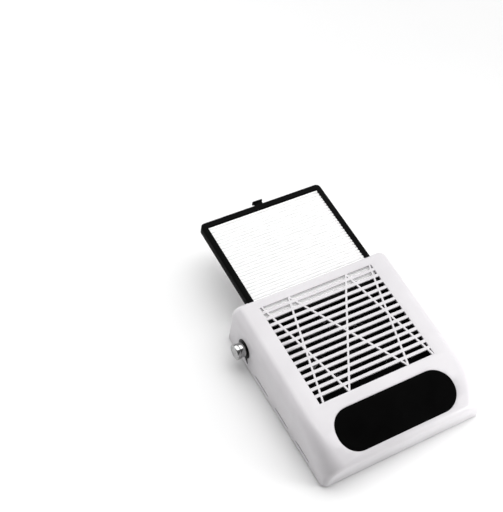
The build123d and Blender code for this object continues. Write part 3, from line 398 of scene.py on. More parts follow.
@dataclass(frozen=True)
class TurnedMetal(Finish):
    """Metal turned on a lathe: fine rings round an axis, wiped streaks and finger marks.

    Attributes:
        axis: Direction of the turning axis.
        centre: A point on it.
        pitch: Metres between the tool's rings.
        depth: Metres of ring relief.
    """

    axis: Axis = Axis.X
    centre: Triple = (0.0, 0.0, 0.0)
    pitch: float = 0.00012
    depth: float = 0.000002

    def paint(self, graph: Graph) -> None:
        """Builds the node tree.

        Args:
            graph: The material being built.
        """
        radius = graph.from_line(self.axis, self.centre)
        level = graph.along(self.axis)
        rings = graph.stripes(graph.math("ADD", radius, level), self.pitch)
        marks = graph.noise(0.004, 4.0, wobble=0.8)
        self.tone(graph, graph.fit(marks, 0.3, 0.7, 0.0, 1.0))
        self.polish(graph, marks)
        graph.drive("Normal", graph.relief(rings, self.depth, 0.3))
        graph.set(Metallic=1.0)


@dataclass(frozen=True)
class PlatedMetal(Finish):
    """Plated or ground steel, nickel and aluminium: drawn streaks, spangle and small pits.

    Attributes:
        along: Direction of the streaks.
        streak: Metres across one streak.
        depth: Metres of relief.
    """

    along: Axis = Axis.Z
    streak: float = 0.00015
    depth: float = 0.000006

    def paint(self, graph: Graph) -> None:
        """Builds the node tree.

        Args:
            graph: The material being built.
        """
        stretch = tuple(0.06 if i == self.along.value else 1.0 for i in range(3))
        streaks = graph.noise(self.streak, 3.0, graph.stretched(stretch))
        spangle = graph.cells(0.0011)
        bright = graph.fit(spangle, 0.0, 0.9, 0.4, 1.0)
        self.tone_twice(graph, bright, graph.fit(streaks, 0.3, 0.7, 0.6, 1.0))
        self.polish(graph, streaks)
        graph.drive("Normal", graph.relief(streaks, self.depth, 0.5))
        graph.set(Metallic=1.0)


@dataclass(frozen=True)
class WoundWire(Finish):
    """Enamelled wire wound in layers: round-topped turns side by side, with painted shade darker in the
    grooves between turns and a tone that differs at random between layers.

    Attributes:
        centre: Middle of the motor.
        wire: Metres across one wire.
    """

    centre: Triple = (0.0, 0.0, 0.0)
    wire: float = 0.0004

    def paint(self, graph: Graph) -> None:
        """Builds the node tree.

        Args:
            graph: The material being built.
        """
        radius = graph.from_line(Axis.Z, self.centre)
        turns = graph.stripes(radius, self.wire)
        lay = graph.noise(0.003, 2.0, graph.stretched((1, 1, 0.3)))
        # Painted shade: the colour darkens in the grooves between the round turns, where shade falls, and
        # stays full on their crowns.
        self.tone_twice(graph, graph.fit(turns, 0.0, 0.6, 0.2, 1.0), graph.fit(lay, 0.3, 0.7, 0.7, 1.0))
        self.polish(graph, lay)
        graph.drive("Normal", graph.relief(turns, self.wire * 0.4, 0.8))
        graph.set(Metallic=0.6, Coat_Weight=0.5, Coat_Roughness=0.15)


@dataclass(frozen=True)
class Layered(Finish):
    """A stack of thin sheets seen edge on: stripes along an axis, with rust or scale in the gaps.

    Attributes:
        axis: Direction in which the sheets are stacked.
        sheet: Metres of one sheet.
        metal: How metallic the sheets are.
    """

    axis: Axis = Axis.Z
    sheet: float = 0.0005
    metal: float = 1.0

    def paint(self, graph: Graph) -> None:
        """Builds the node tree.

        Args:
            graph: The material being built.
        """
        stripes = graph.stripes(graph.along(self.axis), self.sheet)
        scale = graph.noise(0.002, 4.0)
        self.tone_twice(graph, graph.fit(stripes, 0.0, 0.35, 0.0, 1.0), graph.fit(scale, 0.3, 0.7, 0.5, 1.0))
        self.polish(graph, scale)
        graph.drive("Normal", graph.relief(stripes, self.sheet * 0.15, 0.6))
        graph.set(Metallic=self.metal)


@dataclass(frozen=True)
class CircuitLaminate(Finish):
    """Circuit board: solder mask over woven glass, with raised copper tracks and bare pads.

    Attributes:
        pad: Colour of the bare tinned pads.
        track: Metres between tracks.
    """

    pad: Colour = (0.72, 0.70, 0.64, 1.0)
    track: float = 0.0018

    def paint(self, graph: Graph) -> None:
        """Builds the node tree.

        Args:
            graph: The material being built.
        """
        feeds = {"Vector": graph.place, "Scale": 1 / self.track, "Mortar Size": 0.22, "Mortar Smooth": 0.25,
                 "Brick Width": 3.4, "Row Height": 0.8}
        tracks = graph.node("ShaderNodeTexBrick", feeds, offset=0.37, squash=1.6).outputs["Fac"]
        pads = graph.fit(graph.cells(self.track * 2.2), 0.12, 0.16, 1.0, 0.0)
        mask = graph.blend(tracks, self.dark, self.light)
        graph.drive("Base Color", graph.blend(pads, mask, self.pad))
        self.polish(graph, graph.noise(0.004, 3.0))
        weave = graph.relief(graph.stripes(graph.along(Axis.X), 0.0006), 0.000008, 0.3)
        graph.drive("Normal", graph.relief(tracks, 0.00003, 0.5, weave))
        graph.set(Coat_Weight=0.4, Coat_Roughness=0.2)


@dataclass(frozen=True)
class Rubber(Finish):
    """Rubber, foam and cable jacket: dull skin with pores and chalky scuffs.

    Attributes:
        pore: Metres between pores.
        depth: Metres of pore relief.
    """

    pore: float = 0.0004
    depth: float = 0.00002

    def paint(self, graph: Graph) -> None:
        """Builds the node tree.

        Args:
            graph: The material being built.
        """
        scuff = graph.noise(0.006, 5.0, wobble=1.0)
        self.tone(graph, graph.fit(scuff, 0.45, 0.75, 0.0, 1.0))
        self.polish(graph, scuff)
        pores = graph.relief(graph.cells(self.pore), self.depth, 0.7)
        graph.drive("Normal", graph.relief(graph.noise(self.pore / 3, 2.0), self.depth / 4, 0.5, pores))
        graph.set(Sheen_Weight=0.05)


@dataclass(frozen=True)
class StudioFloor(Finish):
    """Plain pale sweep under the object, with barely seen paper tooth."""

    def paint(self, graph: Graph) -> None:
        """Builds the node tree.

        Args:
            graph: The material being built.
        """
        tooth = graph.noise(0.002, 3.0)
        self.tone(graph, graph.fit(graph.noise(0.4, 2.0), 0.3, 0.7, 0.0, 1.0))
        self.polish(graph, tooth)
        graph.set(Specular_IOR_Level=0.1)


class Shade:
    """The finishes of this collector, by what they are on it."""

    CASING = MouldedPlastic("white_casing_plastic", (0.618, 0.60, 0.62, 1), (0.655, 0.637, 0.657, 1),
                            0.28, 0.38, gloss=0.1)
    BLACK = MouldedPlastic("black_moulded_plastic", grey(0.0015), grey(0.003), 0.4, 0.54, shine=0.02)
    INNER = MouldedPlastic("black_inner_plastic", grey(0.001), grey(0.002), 0.6, 0.75, shine=0.03)
    FAN = MouldedPlastic("black_fan_plastic", grey(0.002), grey(0.004), 0.36, 0.46, shine=0.08)
    DIAL = MouldedPlastic("black_dial_plastic", grey(0.0015), grey(0.003), 0.3, 0.42, shine=0.08)
    PALM = SoftTouch("black_palm_silicone", grey(0.001), grey(0.002), 0.6, 0.72, sheen=0.0, shine=0.012)
    PAPER = FilterPaper("white_filter_paper", grey(0.965, 0.001), grey(0.995, 0.0), 0.8, 0.95)
    ZINC = PlatedMetal("zinc_plated_steel", grey(0.42), grey(0.66, 0.01), 0.26, 0.42)
    BEARING = PlatedMetal("ground_bearing_steel", grey(0.5), grey(0.68), 0.12, 0.22)
    NICKEL = PlatedMetal("nickel_plated_brass", (0.56, 0.52, 0.42, 1), (0.75, 0.71, 0.6, 1), 0.2, 0.34)
    SINK = PlatedMetal("extruded_aluminium", grey(0.48, -0.01), grey(0.68, -0.01), 0.32, 0.5)
    CORE = Layered("laminated_core_steel", grey(0.05, 0.1), grey(0.32), 0.4, 0.6)
    FERRITE = Rubber("ferrite_magnet", grey(0.02), grey(0.05), 0.45, 0.6, pore=0.0002)
    BOARD = CircuitLaminate("green_board_laminate", (0.008, 0.075, 0.03, 1), (0.02, 0.16, 0.06, 1),
                            0.25, 0.4)
    RESIN = MouldedPlastic("black_component_resin", grey(0.016), grey(0.028), 0.5, 0.7, grain=0.0002)
    SLEEVE = MouldedPlastic("dark_capacitor_sleeve", (0.012, 0.014, 0.04, 1), (0.02, 0.024, 0.06, 1),
                            0.15, 0.25)
    NYLON = MouldedPlastic("natural_nylon", (0.62, 0.58, 0.48, 1), (0.74, 0.71, 0.61, 1), 0.35, 0.5)
    JACKET = Rubber("black_lead_jacket", grey(0.012), grey(0.04), 0.38, 0.55, pore=0.0003, depth=0.000008)
    FOOT = Rubber("black_foot_rubber", grey(0.012), grey(0.04), 0.7, 0.9)
    FOAM = Rubber("grey_gasket_foam", grey(0.02), grey(0.06), 0.85, 1.0, pore=0.0009, depth=0.0002)
    FLOOR = StudioFloor("pale_studio_floor", grey(0.90), grey(0.92), 0.8, 0.95)


# ---- meshes ----
def grid_faces(rows: int, columns: int, wrap_rows: bool, wrap_columns: bool, start: int = 0) -> np.ndarray:
    """Quads between neighbours of a grid of points numbered row by row.

    Args:
        rows: Points along the first parameter.
        columns: Points along the second.
        wrap_rows: Whether the last row joins the first.
        wrap_columns: Whether the last column joins the first.
        start: Number of the grid's first point.

    Returns:
        Point numbers, four to a face.
    """
    u = np.arange(rows if wrap_rows else rows - 1)
    v = np.arange(columns if wrap_columns else columns - 1)
    u, v = np.meshgrid(u, v, indexing="ij")
    u1, v1 = (u + 1) % rows, (v + 1) % columns
    quads = np.stack([u * columns + v, u * columns + v1, u1 * columns + v1, u1 * columns + v], axis=-1)
    return quads.reshape(-1, 4) + start


class Shell:
    """Collects surfaces that together make one closed piece."""

    def __init__(self) -> None:
        """Starts with nothing in it."""
        self.points: list[np.ndarray] = []
        self.faces: list[np.ndarray] = []
        self.count = 0

    def add(self, points: np.ndarray, faces: np.ndarray) -> None:
        """Adds a surface.

        Args:
            points: Its points, in any grid of xyz.
            faces: Its faces, numbered within those points.
        """
        self.points.append(points.reshape(-1, 3))
        self.faces.append(faces + self.count)
        self.count += len(self.points[-1])

    def tube(self, sections: np.ndarray) -> None:
        """Adds a surface through closed sections, with both ends closed by fans to their middles.

        Args:
            sections: Points as (section, point round it, xyz).
        """
        rows, columns, _ = sections.shape
        self.add(sections, grid_faces(rows, columns, False, True))
        for row, flip in ((0, False), (rows - 1, True)):
            rim = sections[row]
            points = np.vstack([rim, rim.mean(axis=0)])
            ring = np.arange(columns)
            fan = np.stack([ring, np.full(columns, columns), (ring + 1) % columns], axis=1)
            self.add(points, fan[:, ::-1] if flip else fan)

    def ring(self, sections: np.ndarray) -> None:
        """Adds a surface through closed sections, the last joined to the first."""
        rows, columns, _ = sections.shape
        self.add(sections, grid_faces(rows, columns, True, True))

    def piece(self, name: str, sharp: float = 32.0) -> Piece:
        """Makes the collected surfaces one object with outward normals.

        Args:
            name: The object's name.
            sharp: Edges that turn by more than this many degrees stay sharp.

        Returns:
            The object, at the origin.
        """
        mesh = bpy.data.meshes.new(name)
        corners = [face for block in self.faces for face in block.tolist()]
        mesh.from_pydata(np.concatenate(self.points).tolist(), [], corners)
        work = bmesh.new()
        work.from_mesh(mesh)
        bmesh.ops.remove_doubles(work, verts=work.verts, dist=SAME_POINT)
        bmesh.ops.recalc_face_normals(work, faces=work.faces)
        work.to_mesh(mesh)
        work.free()
        mesh.shade_smooth()
        mesh.set_sharp_from_angle(angle=math.radians(sharp))
        made = bpy.data.objects.new(name, mesh)
        bpy.context.scene.collection.objects.link(made)
        return made


def lathe(profile: np.ndarray, steps: int, axis: Axis, centre: Triple) -> np.ndarray:
    """Turns a profile round an axis.

    A point at (a, r) of the profile goes to a along the axis and to r times (cos t, sin t) in the plane
    square to it, for t all the way round.

    Args:
        profile: Rows of (place along the axis, radius).
        steps: Points round the axis.
        axis: The axis' direction.
        centre: A point on the axis. Its own place along the axis is not used.

    Returns:
        Points as (profile point, step, xyz).
    """
    turn = np.linspace(0, TAU, steps, endpoint=False)
    points = np.zeros((len(profile), steps, 3))
    across = [i for i in range(3) if i != axis.value]
    points[..., axis.value] = profile[:, :1]
    points[..., across[0]] = centre[across[0]] + profile[:, 1:] * np.cos(turn)
    points[..., across[1]] = centre[across[1]] + profile[:, 1:] * np.sin(turn)
    return points


def rounded(corners: list[tuple[float, float, float]], steps: int = 5) -> np.ndarray:
    """A polyline with its corners rounded.

    Each corner is replaced by a quadratic curve from one radius before it to one radius after it:
    (1-t)^2 times the first point, 2t(1-t) times the corner and t^2 times the last.

    Args:
        corners: Rows of (first coordinate, second coordinate, radius). The two ends stay sharp.
        steps: Points in each rounding.

    Returns:
        Rows of (first coordinate, second coordinate).
    """
    places = np.array([(a, b) for a, b, _ in corners], float)
    radii = np.array([r for _, _, r in corners], float)
    t = np.linspace(0, 1, steps)[:, None]
    rows = [places[:1]]
    for i in range(1, len(places) - 1):
        before, here, after = places[i - 1], places[i], places[i + 1]
        back = (before - here) / np.linalg.norm(before - here)
        on = (after - here) / np.linalg.norm(after - here)
        start, end = here + back * radii[i], here + on * radii[i]
        rows.append((1 - t) ** 2 * start + 2 * t * (1 - t) * here + t ** 2 * end)
    rows.append(places[-1:])
    return np.concatenate(rows)


def turned(start: float, corners: list[Triple], steps: int = 5) -> np.ndarray:
    """The profile of a turned piece, from corners in millimetres.

    Args:
        start: Where the profile's places along the axis are measured from, in metres.
        corners: Rows of (place from start, radius, rounding), in millimetres.
        steps: Points in each rounding.

    Returns:
        Rows of (place along the axis, radius), in metres.
    """
    return rounded([(start + place * MM, radius * MM, soft * MM) for place, radius, soft in corners], steps)


def cad_piece(node: str) -> Piece:
    """The Blender object of a CAD node."""
    return bpy.data.objects[node]


# ---- sub-assemblies ----
@dataclass
class Assembly(ABC):
    """A group of pieces that belong together.

    Attributes:
        made: The new pieces, in the order in which they were made.
        weld: Corners of a CAD piece's triangles that lie this near are one.
        sharp: Its edges that turn by more than this many degrees are rounded.
    """

    made: list[Piece] = field(default_factory=list, init=False)
    weld: float = field(default=2e-6, init=False)
    sharp: float = field(default=40.0, init=False)

    @abstractmethod
    def build(self) -> None:
        """Makes the new meshes and dresses every piece of the group."""

    def dress(self, finish: Finish, *nodes: str, edge: Edge | None = None) -> None:
        """Gives CAD nodes their finish, and rounds their sharp edges where they are seen close by.

        Args:
            finish: The finish.
            *nodes: Names of the CAD nodes.
            edge: How far their edges are rounded, or None to leave them.
        """
        for node in nodes:
            piece = cad_piece(node)
            if not piece.material_slots:
                piece.data.materials.append(None)
            for slot in piece.material_slots:
                slot.material = finish.make()
            if edge is not None:
                self.soften(piece, edge)
            log.info("dressed %s in %s", node, finish.name)

    def soften(self, piece: Piece, edge: Edge) -> None:
        """Joins a CAD piece's loose triangles and rounds its sharp edges, by modifiers alone.

        Args:
            piece: The CAD node's object.
            edge: How far.
        """
        weld = piece.modifiers.new("joined_triangles", "WELD")
        weld.merge_threshold = self.weld
        bevel = piece.modifiers.new("rounded_edges", "BEVEL")
        bevel.width = edge.value
        bevel.segments = 2
        bevel.limit_method = "ANGLE"
        bevel.angle_limit = math.radians(self.sharp)
        bevel.harden_normals = True
        bevel.use_clamp_overlap = True
        piece.data.shade_smooth()

    def place(self, piece: Piece, body: str, slot: str, finish: Finish, *stands_for: str) -> Piece:
        """Gives a new piece its finish, hangs it on its body and hides the CAD nodes that it stands for.

        Args:
            piece: The object.
            body: The body that it moves with.
            slot: Not used.
            finish: Its finish.
            *stands_for: CAD nodes that it is shown instead of.

        Returns:
            The same object.
        """
        piece.data.materials.append(finish.make())
        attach(piece, body)
        if stands_for:
            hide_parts(*stands_for)
        self.made.append(piece)
        log.info("built %s: %d faces, on %s", piece.name, len(piece.data.polygons), body)
        return piece


@dataclass
class Casing(Assembly):
    """White two-part casing with its grille, screws and rubber feet.

    Attributes:
        shells: The white mouldings.
        feet: The four feet.
    """

    shells: tuple[str, ...] = ("upper_casing", "intake_grille", "base_cover")
    feet: tuple[str, ...] = ("rubber_foot_front_left", "rubber_foot_front_right",
                             "rubber_foot_rear_left", "rubber_foot_rear_right")

    def build(self) -> None:
        """Makes the new meshes and dresses every piece of the group."""
        self.dress(Shade.CASING, *self.shells, edge=Edge.MOULDED)
        self.dress(Shade.ZINC, "casing_screws", edge=Edge.CRISP)
        self.dress(Shade.FOOT, *self.feet, edge=Edge.MOULDED)


@dataclass
class PalmRest(Assembly):
    """Soft pill-shaped pad set into the roll of the front.

    Attributes:
        length: Across the casing.
        width: Along the surface.
        corner: Radius of the pill's ends.
        roll: Radius of the casing's front roll.
        sunk: Depth of its pocket.
        proud: Height of its edge above the casing.
        crown: Extra height at its middle.
        lip: Rounding of its upper edge.
        steps: Points round its outline.
        rings: Outlines from its middle to its lip.
        lip_rings: Outlines over the lip.
        fits: Rounds of the fit that finds the roll.
    """

    length: float = 163.6 * MM
    width: float = 52.7 * MM
    corner: float = 25.3 * MM
    roll: float = 142.0 * MM
    sunk: float = 0.98 * MM
    proud: float = 0.15 * MM
    crown: float = 0.7 * MM
    lip: float = 0.8 * MM
    steps: int = 168
    rings: int = 16
    lip_rings: int = 6
    fits: int = 3

    def outline(self, share: np.ndarray) -> np.ndarray:
        """The pill, drawn in towards the line between its two ends.

        At turn t and share f a point starts at (+-(length / 2 - corner), +-(width / 2 - corner) f), the
        middle of its corner's circle, and goes out by corner times f along (cos t, sin t).

        Args:
            share: From 0 on the middle line to 1 on the rim, one for each outline.

        Returns:
            Points as (outline, step, two coordinates).
        """
        t = (np.arange(self.steps) + 0.5) * TAU / self.steps
        way = np.stack([np.cos(t), np.sin(t)], axis=1)
        ends = np.sign(way) * (self.length / 2 - self.corner, self.width / 2 - self.corner)
        f = share[:, None]
        across = ends[None, :, 0] + way[None, :, 0] * self.corner * f
        along = (ends[None, :, 1] + way[None, :, 1] * self.corner) * f
        return np.stack([across, along], axis=-1)

    def surface(self) -> np.ndarray:
        """Sections of the pad from its underside's middle, over its edge, to its top's middle.

        Inside the lip the top stands at proud plus crown times (1 - f squared) squared for the share f of
        the way to the lip. The lip itself is a quarter circle.

        Returns:
            Points as (section, step, across, along, height).
        """
        half = self.width / 2
        inner = 1 - self.lip / half
        flat = np.linspace(0, 1, self.rings)
        quarter = np.linspace(0, math.pi / 2, self.lip_rings, endpoint=False)
        share = np.concatenate([flat, [1.0], 1 - (1 - inner) * (1 - np.cos(quarter)), inner * flat[::-1]])
        height = np.concatenate([np.full(self.rings, -self.sunk), [-self.sunk / 2],
                                 self.proud - self.lip * (1 - np.sin(quarter)),
                                 self.proud + self.crown * (1 - flat[::-1] ** 2) ** 2])
        plan = self.outline(share)
        tall = np.broadcast_to(height[:, None, None], plan.shape[:2] + (1,))
        return np.concatenate([plan, tall], axis=2)

    def onto_roll(self, local: np.ndarray, middle: float, centre: tuple[float, float]) -> np.ndarray:
        """Lays the pad on the roll.

        A point at (x, q, n) goes to the angle m + arcsin(q / R) at the radius R + n about the roll's axis,
        where m is the pad's middle.

        Args:
            local: Points as (..., across, along the tangent, height).
            middle: Angle of the pad's middle, from straight up towards the front.
            centre: The roll's axis, as y and z.

        Returns:
            Points as (..., xyz).
        """
        x, q, n = local[..., 0], local[..., 1], local[..., 2]
        turn = middle - np.arcsin(q / self.roll)
        radius = self.roll + n
        return np.stack([x, centre[0] - radius * np.sin(turn), centre[1] + radius * np.cos(turn)], axis=-1)

    def build(self) -> None:
        """Makes the new meshes and dresses every piece of the group."""
        middle, centre = self.find_roll()
        shell = Shell()
        skin = self.onto_roll(self.surface(), middle, centre)
        shell.add(skin, grid_faces(skin.shape[0], skin.shape[1], False, True))
        pad = shell.piece("palm_pad", sharp=50)
        self.place(pad, "casing", "black_silicone", Shade.PALM, "palm_rest")

    def find_roll(self) -> tuple[float, tuple[float, float]]:
        """Angle of the pad's middle and the roll's axis, from the CAD pad's own points.

        A circle is fitted by least squares to the points' y and z, then again to those of them that lie
        furthest from its middle, which are the pad's top.

        Returns:
            The angle, and the axis as y and z.
        """
        mesh = cad_piece("palm_rest").data
        points = np.empty(len(mesh.vertices) * 3, np.float32)
        mesh.vertices.foreach_get("co", points)
        points = points.reshape(-1, 3).astype(float)
        y, z = points[:, 1], points[:, 2]
        keep = np.ones(len(y), bool)
        for _ in range(self.fits):
            rows = np.stack([y[keep], z[keep], np.ones(keep.sum())], axis=1)
            a, b, _ = np.linalg.lstsq(rows, -(y[keep] ** 2 + z[keep] ** 2), rcond=None)[0]
            centre = (-a / 2, -b / 2)
            away = np.hypot(y - centre[0], z - centre[1])
            keep = away > np.median(away)
        log.info("palm rest lies on a roll of %.2f mm", away[keep].mean() / MM)
        ends = np.arctan2(centre[0] - np.array([y.min(), y.max()]), np.array([z.min(), z.max()]) - centre[1])
        return float(ends.mean()), centre


@dataclass
class FilterDrawer(Assembly):
    """Black pull-out frame with a block of pleated paper glued into it.

    Attributes:
        pitch: Distance between folds.
        sheet: Thickness of the paper.
        squareness: How broad the crests are: the power in the folds' formula.
        slope: Fall of the casing's top towards the front, in degrees.
        steps: Points along one fold.
        crowding: How these are spaced: under 1, they crowd less into the valleys.
        columns: Copies of the folded line across the drawer.
    """

    pitch: float = 4.6 * MM
    sheet: float = 0.35 * MM
    squareness: float = 7.0
    slope: float = 2.42
    steps: int = 16
    crowding: float = 0.7
    columns: int = 9

    def wave(self, count: int, depth: float, height: float) -> np.ndarray:
        """Middle line of the folded paper, seen from the side.

        Between two valleys the paper stands at height times (1 - |2p - 1| to the power of the squareness),
        for the share p of the way: broad rounded crests with narrow folds between them.

        Args:
            count: Number of folds.
            depth: Length of the block, along the drawer.
            height: Height of the folds.

        Returns:
            Rows of (along, up).
        """
        swing = np.cos(np.linspace(0, math.pi, self.steps, endpoint=False))
        share = (1 - np.sign(swing) * np.abs(swing) ** self.crowding) / 2
        along = np.append((np.arange(count)[:, None] + share[None, :]).ravel(), count) * depth / count
        phase = np.append(np.tile(share, count), 0.0)
        return np.stack([along, height * (1 - np.abs(2 * phase - 1) ** self.squareness)], axis=1)

    def paper(self) -> Piece:
        """Pleated paper: the folded line carried across the frame, with the paper's thickness.

        A point (a, u) of the side view goes to the block's lower front edge, plus a along the drawer,
        which leans by the slope, plus u square to it.

        Returns:
            The piece.
        """
        low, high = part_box("filter_media")
        lean = math.radians(self.slope)
        run, rise = high[1] - low[1], high[2] - low[2]
        depth = run * math.cos(lean) - (rise - run * math.tan(lean)) * math.sin(lean)
        height = rise - depth * math.sin(lean)
        line = self.wave(int(depth / self.pitch), depth, height - self.sheet)
        way = np.gradient(line, axis=0)
        way /= np.linalg.norm(way, axis=1, keepdims=True)
        out = np.stack([-way[:, 1], way[:, 0]], axis=1) * self.sheet / 2
        lift = np.array([0, self.sheet / 2])
        section = np.concatenate([line + lift + out, (line + lift - out)[::-1]])
        section[:, 0] = np.clip(section[:, 0], 0, depth)
        section[:, 1] = np.clip(section[:, 1], 0, height)
        local = np.zeros((self.columns, len(section), 3))
        local[..., 0] = np.linspace(low[0], high[0], self.columns)[:, None]
        start = low[1] + height * math.sin(lean)
        local[..., 1] = start + section[:, 0] * math.cos(lean) - section[:, 1] * math.sin(lean)
        local[..., 2] = low[2] + section[:, 0] * math.sin(lean) + section[:, 1] * math.cos(lean)
        shell = Shell()
        shell.add(local, grid_faces(self.columns, len(section), False, True))
        half = len(section) // 2
        rung = np.arange(half - 1)
        strip = np.stack([rung, rung + 1, 2 * half - 2 - rung, 2 * half - 1 - rung], axis=1)
        shell.add(local[0], strip)
        shell.add(local[-1], strip[:, ::-1])
        return shell.piece("pleated_paper", sharp=60)

    def build(self) -> None:
        """Makes the new meshes and dresses every piece of the group."""
        self.dress(Shade.BLACK, "filter_frame", edge=Edge.MOULDED)
        self.place(self.paper(), "drawer", "filter_paper", Shade.PAPER, "filter_media")


@dataclass
class InnerTray(Assembly):
    """Black tub that holds the drawer's runners and the finger guard."""

    def build(self) -> None:
        """Makes the new meshes and dresses every piece of the group."""
        self.dress(Shade.INNER, "filter_tray", edge=Edge.CRISP)
        self.dress(Shade.ZINC, "tray_screws", edge=Edge.CRISP)


@dataclass
class Fan(Assembly):
    """Axial fan of the 120 mm size, with its motor.

    Attributes:
        blades: Number of blades.
        root_chord: Chord at the hub.
        tip_chord: Chord at the tip.
        root_pitch: Blade angle at the hub, in degrees.
        tip_pitch: Blade angle at the tip, in degrees.
        thickness: Greatest blade thickness, about.
        edge: Half the thickness that is left at a blade's edges.
        camber: How far a blade's middle line bends, as a share of its chord.
        sweep: How far the tip runs ahead of the root, in radians.
        sunk: How far a blade's root lies inside the hub cap.
        hub_radius: Outside of the hub cap.
        tip_radius: Reach of the blades.
        hub_wall: Wall of the hub cap.
        skirt: Height of the hub cap.
        boss: Radius of the boss round the shaft.
        bore: Radius of the shaft's hole.
        steps: Points round the hub.
        metals: Turned steel pieces of the motor.
    """

    blades: int = 7
    root_chord: float = 23.0 * MM
    tip_chord: float = 34.0 * MM
    root_pitch: float = 44.0
    tip_pitch: float = 26.0
    thickness: float = 2.0 * MM
    edge: float = 0.25 * MM
    camber: float = 0.06
    sweep: float = 0.10
    sunk: float = 1.0 * MM
    hub_radius: float = 21.0 * MM
    tip_radius: float = 56.6 * MM
    hub_wall: float = 1.9 * MM
    skirt: float = 19.5 * MM
    boss: float = 3.6 * MM
    bore: float = 1.5 * MM
    steps: int = 96
    metals: tuple[str, ...] = ("fan_shaft", "bearing_outer_rings", "bearing_inner_rings", "bearing_balls",
                               "preload_spring", "shaft_clip")

    def blade(self, turn: float, centre: Vector) -> np.ndarray:
        """Sections of one blade, from the hub to its tip.

        At share s of the span the chord and the pitch go evenly from root to tip. At share u of the chord
        the half thickness is 1.3 times the thickness times (sqrt(u) - u)(1 - 0.35 u), plus the edge's, and
        all of it times 1.15 - 0.4 s. The middle line bends by the camber times 4u(1 - u) of the chord. A
        point at distance a round the hub goes to the angle a / r, plus the sweep times s to the power 1.5.

        Args:
            turn: The blade's place round the hub, in radians.
            centre: Middle of the rotor.

        Returns:
            Points as (section, point, xyz).
        """
        s = np.linspace(0, 1, 11)[:, None]
        u = 0.5 - 0.5 * np.cos(np.linspace(0, math.pi, 15))
        half = 1.3 * self.thickness * (np.sqrt(u) - u) * (1 - 0.35 * u) + self.edge
        chord = self.root_chord + (self.tip_chord - self.root_chord) * s
        bend = self.camber * 4 * u * (1 - u)
        x = np.concatenate([u, u[::-1]])[None, :] - 0.5
        up = np.concatenate([half, -half[::-1]])[None, :] * (1.15 - 0.4 * s)
        up = up + np.concatenate([bend, bend[::-1]])[None, :] * chord
        pitch = np.radians(self.root_pitch + (self.tip_pitch - self.root_pitch) * s)
        aside = chord * x * np.cos(pitch) - up * np.sin(pitch)
        rise = chord * x * np.sin(pitch) + up * np.cos(pitch)
        inner = self.hub_radius - self.sunk
        radius = inner + (self.tip_radius - inner) * s
        angle = turn + aside / radius + self.sweep * s ** 1.5
        return np.stack([centre[0] + radius * np.cos(angle), centre[1] + radius * np.sin(angle),
                         centre[2] + rise], axis=-1)

    def impeller(self) -> Piece:
        """Hub cap with rounded rim and a dished top, and its blades.

        Returns:
            The piece.
        """
        low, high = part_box("fan_impeller")
        centre = (low + high) / 2
        reach, bore, wall = self.hub_radius / MM, self.bore / MM, self.hub_wall / MM
        boss, skirt = self.boss / MM, self.skirt / MM
        profile = turned(high[2], [
            (-1.0, bore, 0), (-0.9, 2.2, 0.3), (-0.25, 4.0, 0.6), (-0.25, 15.5, 0.6), (0, 16.2, 0.3),
            (0, reach, 1.6), (-skirt, reach, 0.4), (-skirt, reach - 0.9, 0.3), (-wall, reach - wall, 0.5),
            (-wall, boss, 0.4), (-4.0, boss, 0.2), (-4.0, bore, 0),
        ])
        shell = Shell()
        shell.ring(lathe(profile, self.steps, Axis.Z, centre))
        middle = Vector((centre[0], centre[1], high[2] - self.skirt / 2))
        for i in range(self.blades):
            shell.tube(self.blade(i * TAU / self.blades, middle))
        return shell.piece("fan_rotor", sharp=40)

    def build(self) -> None:
        """Makes the new meshes and dresses every piece of the group."""
        low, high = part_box("fan_shaft")
        centre = tuple((low + high) / 2)
        self.dress(Shade.FAN, "fan_frame", edge=Edge.MOULDED)
        self.place(self.impeller(), "rotor", "black_abs", Shade.FAN, "fan_impeller")
        self.dress(Shade.ZINC, "rotor_cup", "fan_screws", edge=Edge.CRISP)
        self.dress(Shade.FERRITE, "rotor_magnet", edge=Edge.CRISP)
        self.dress(TurnedMetal("turned_motor_steel", grey(0.5), grey(0.68), 0.12, 0.24, Axis.Z, centre),
                   *self.metals)
        self.dress(Shade.CORE, "stator_core")
        self.dress(WoundWire("enamelled_copper_wire", (0.22, 0.07, 0.02, 1), (0.62, 0.26, 0.1, 1),
                             0.2, 0.35, centre), "stator_windings")
        self.dress(Shade.BOARD, "fan_circuit_board")
        self.dress(Shade.FOAM, "fan_gasket")


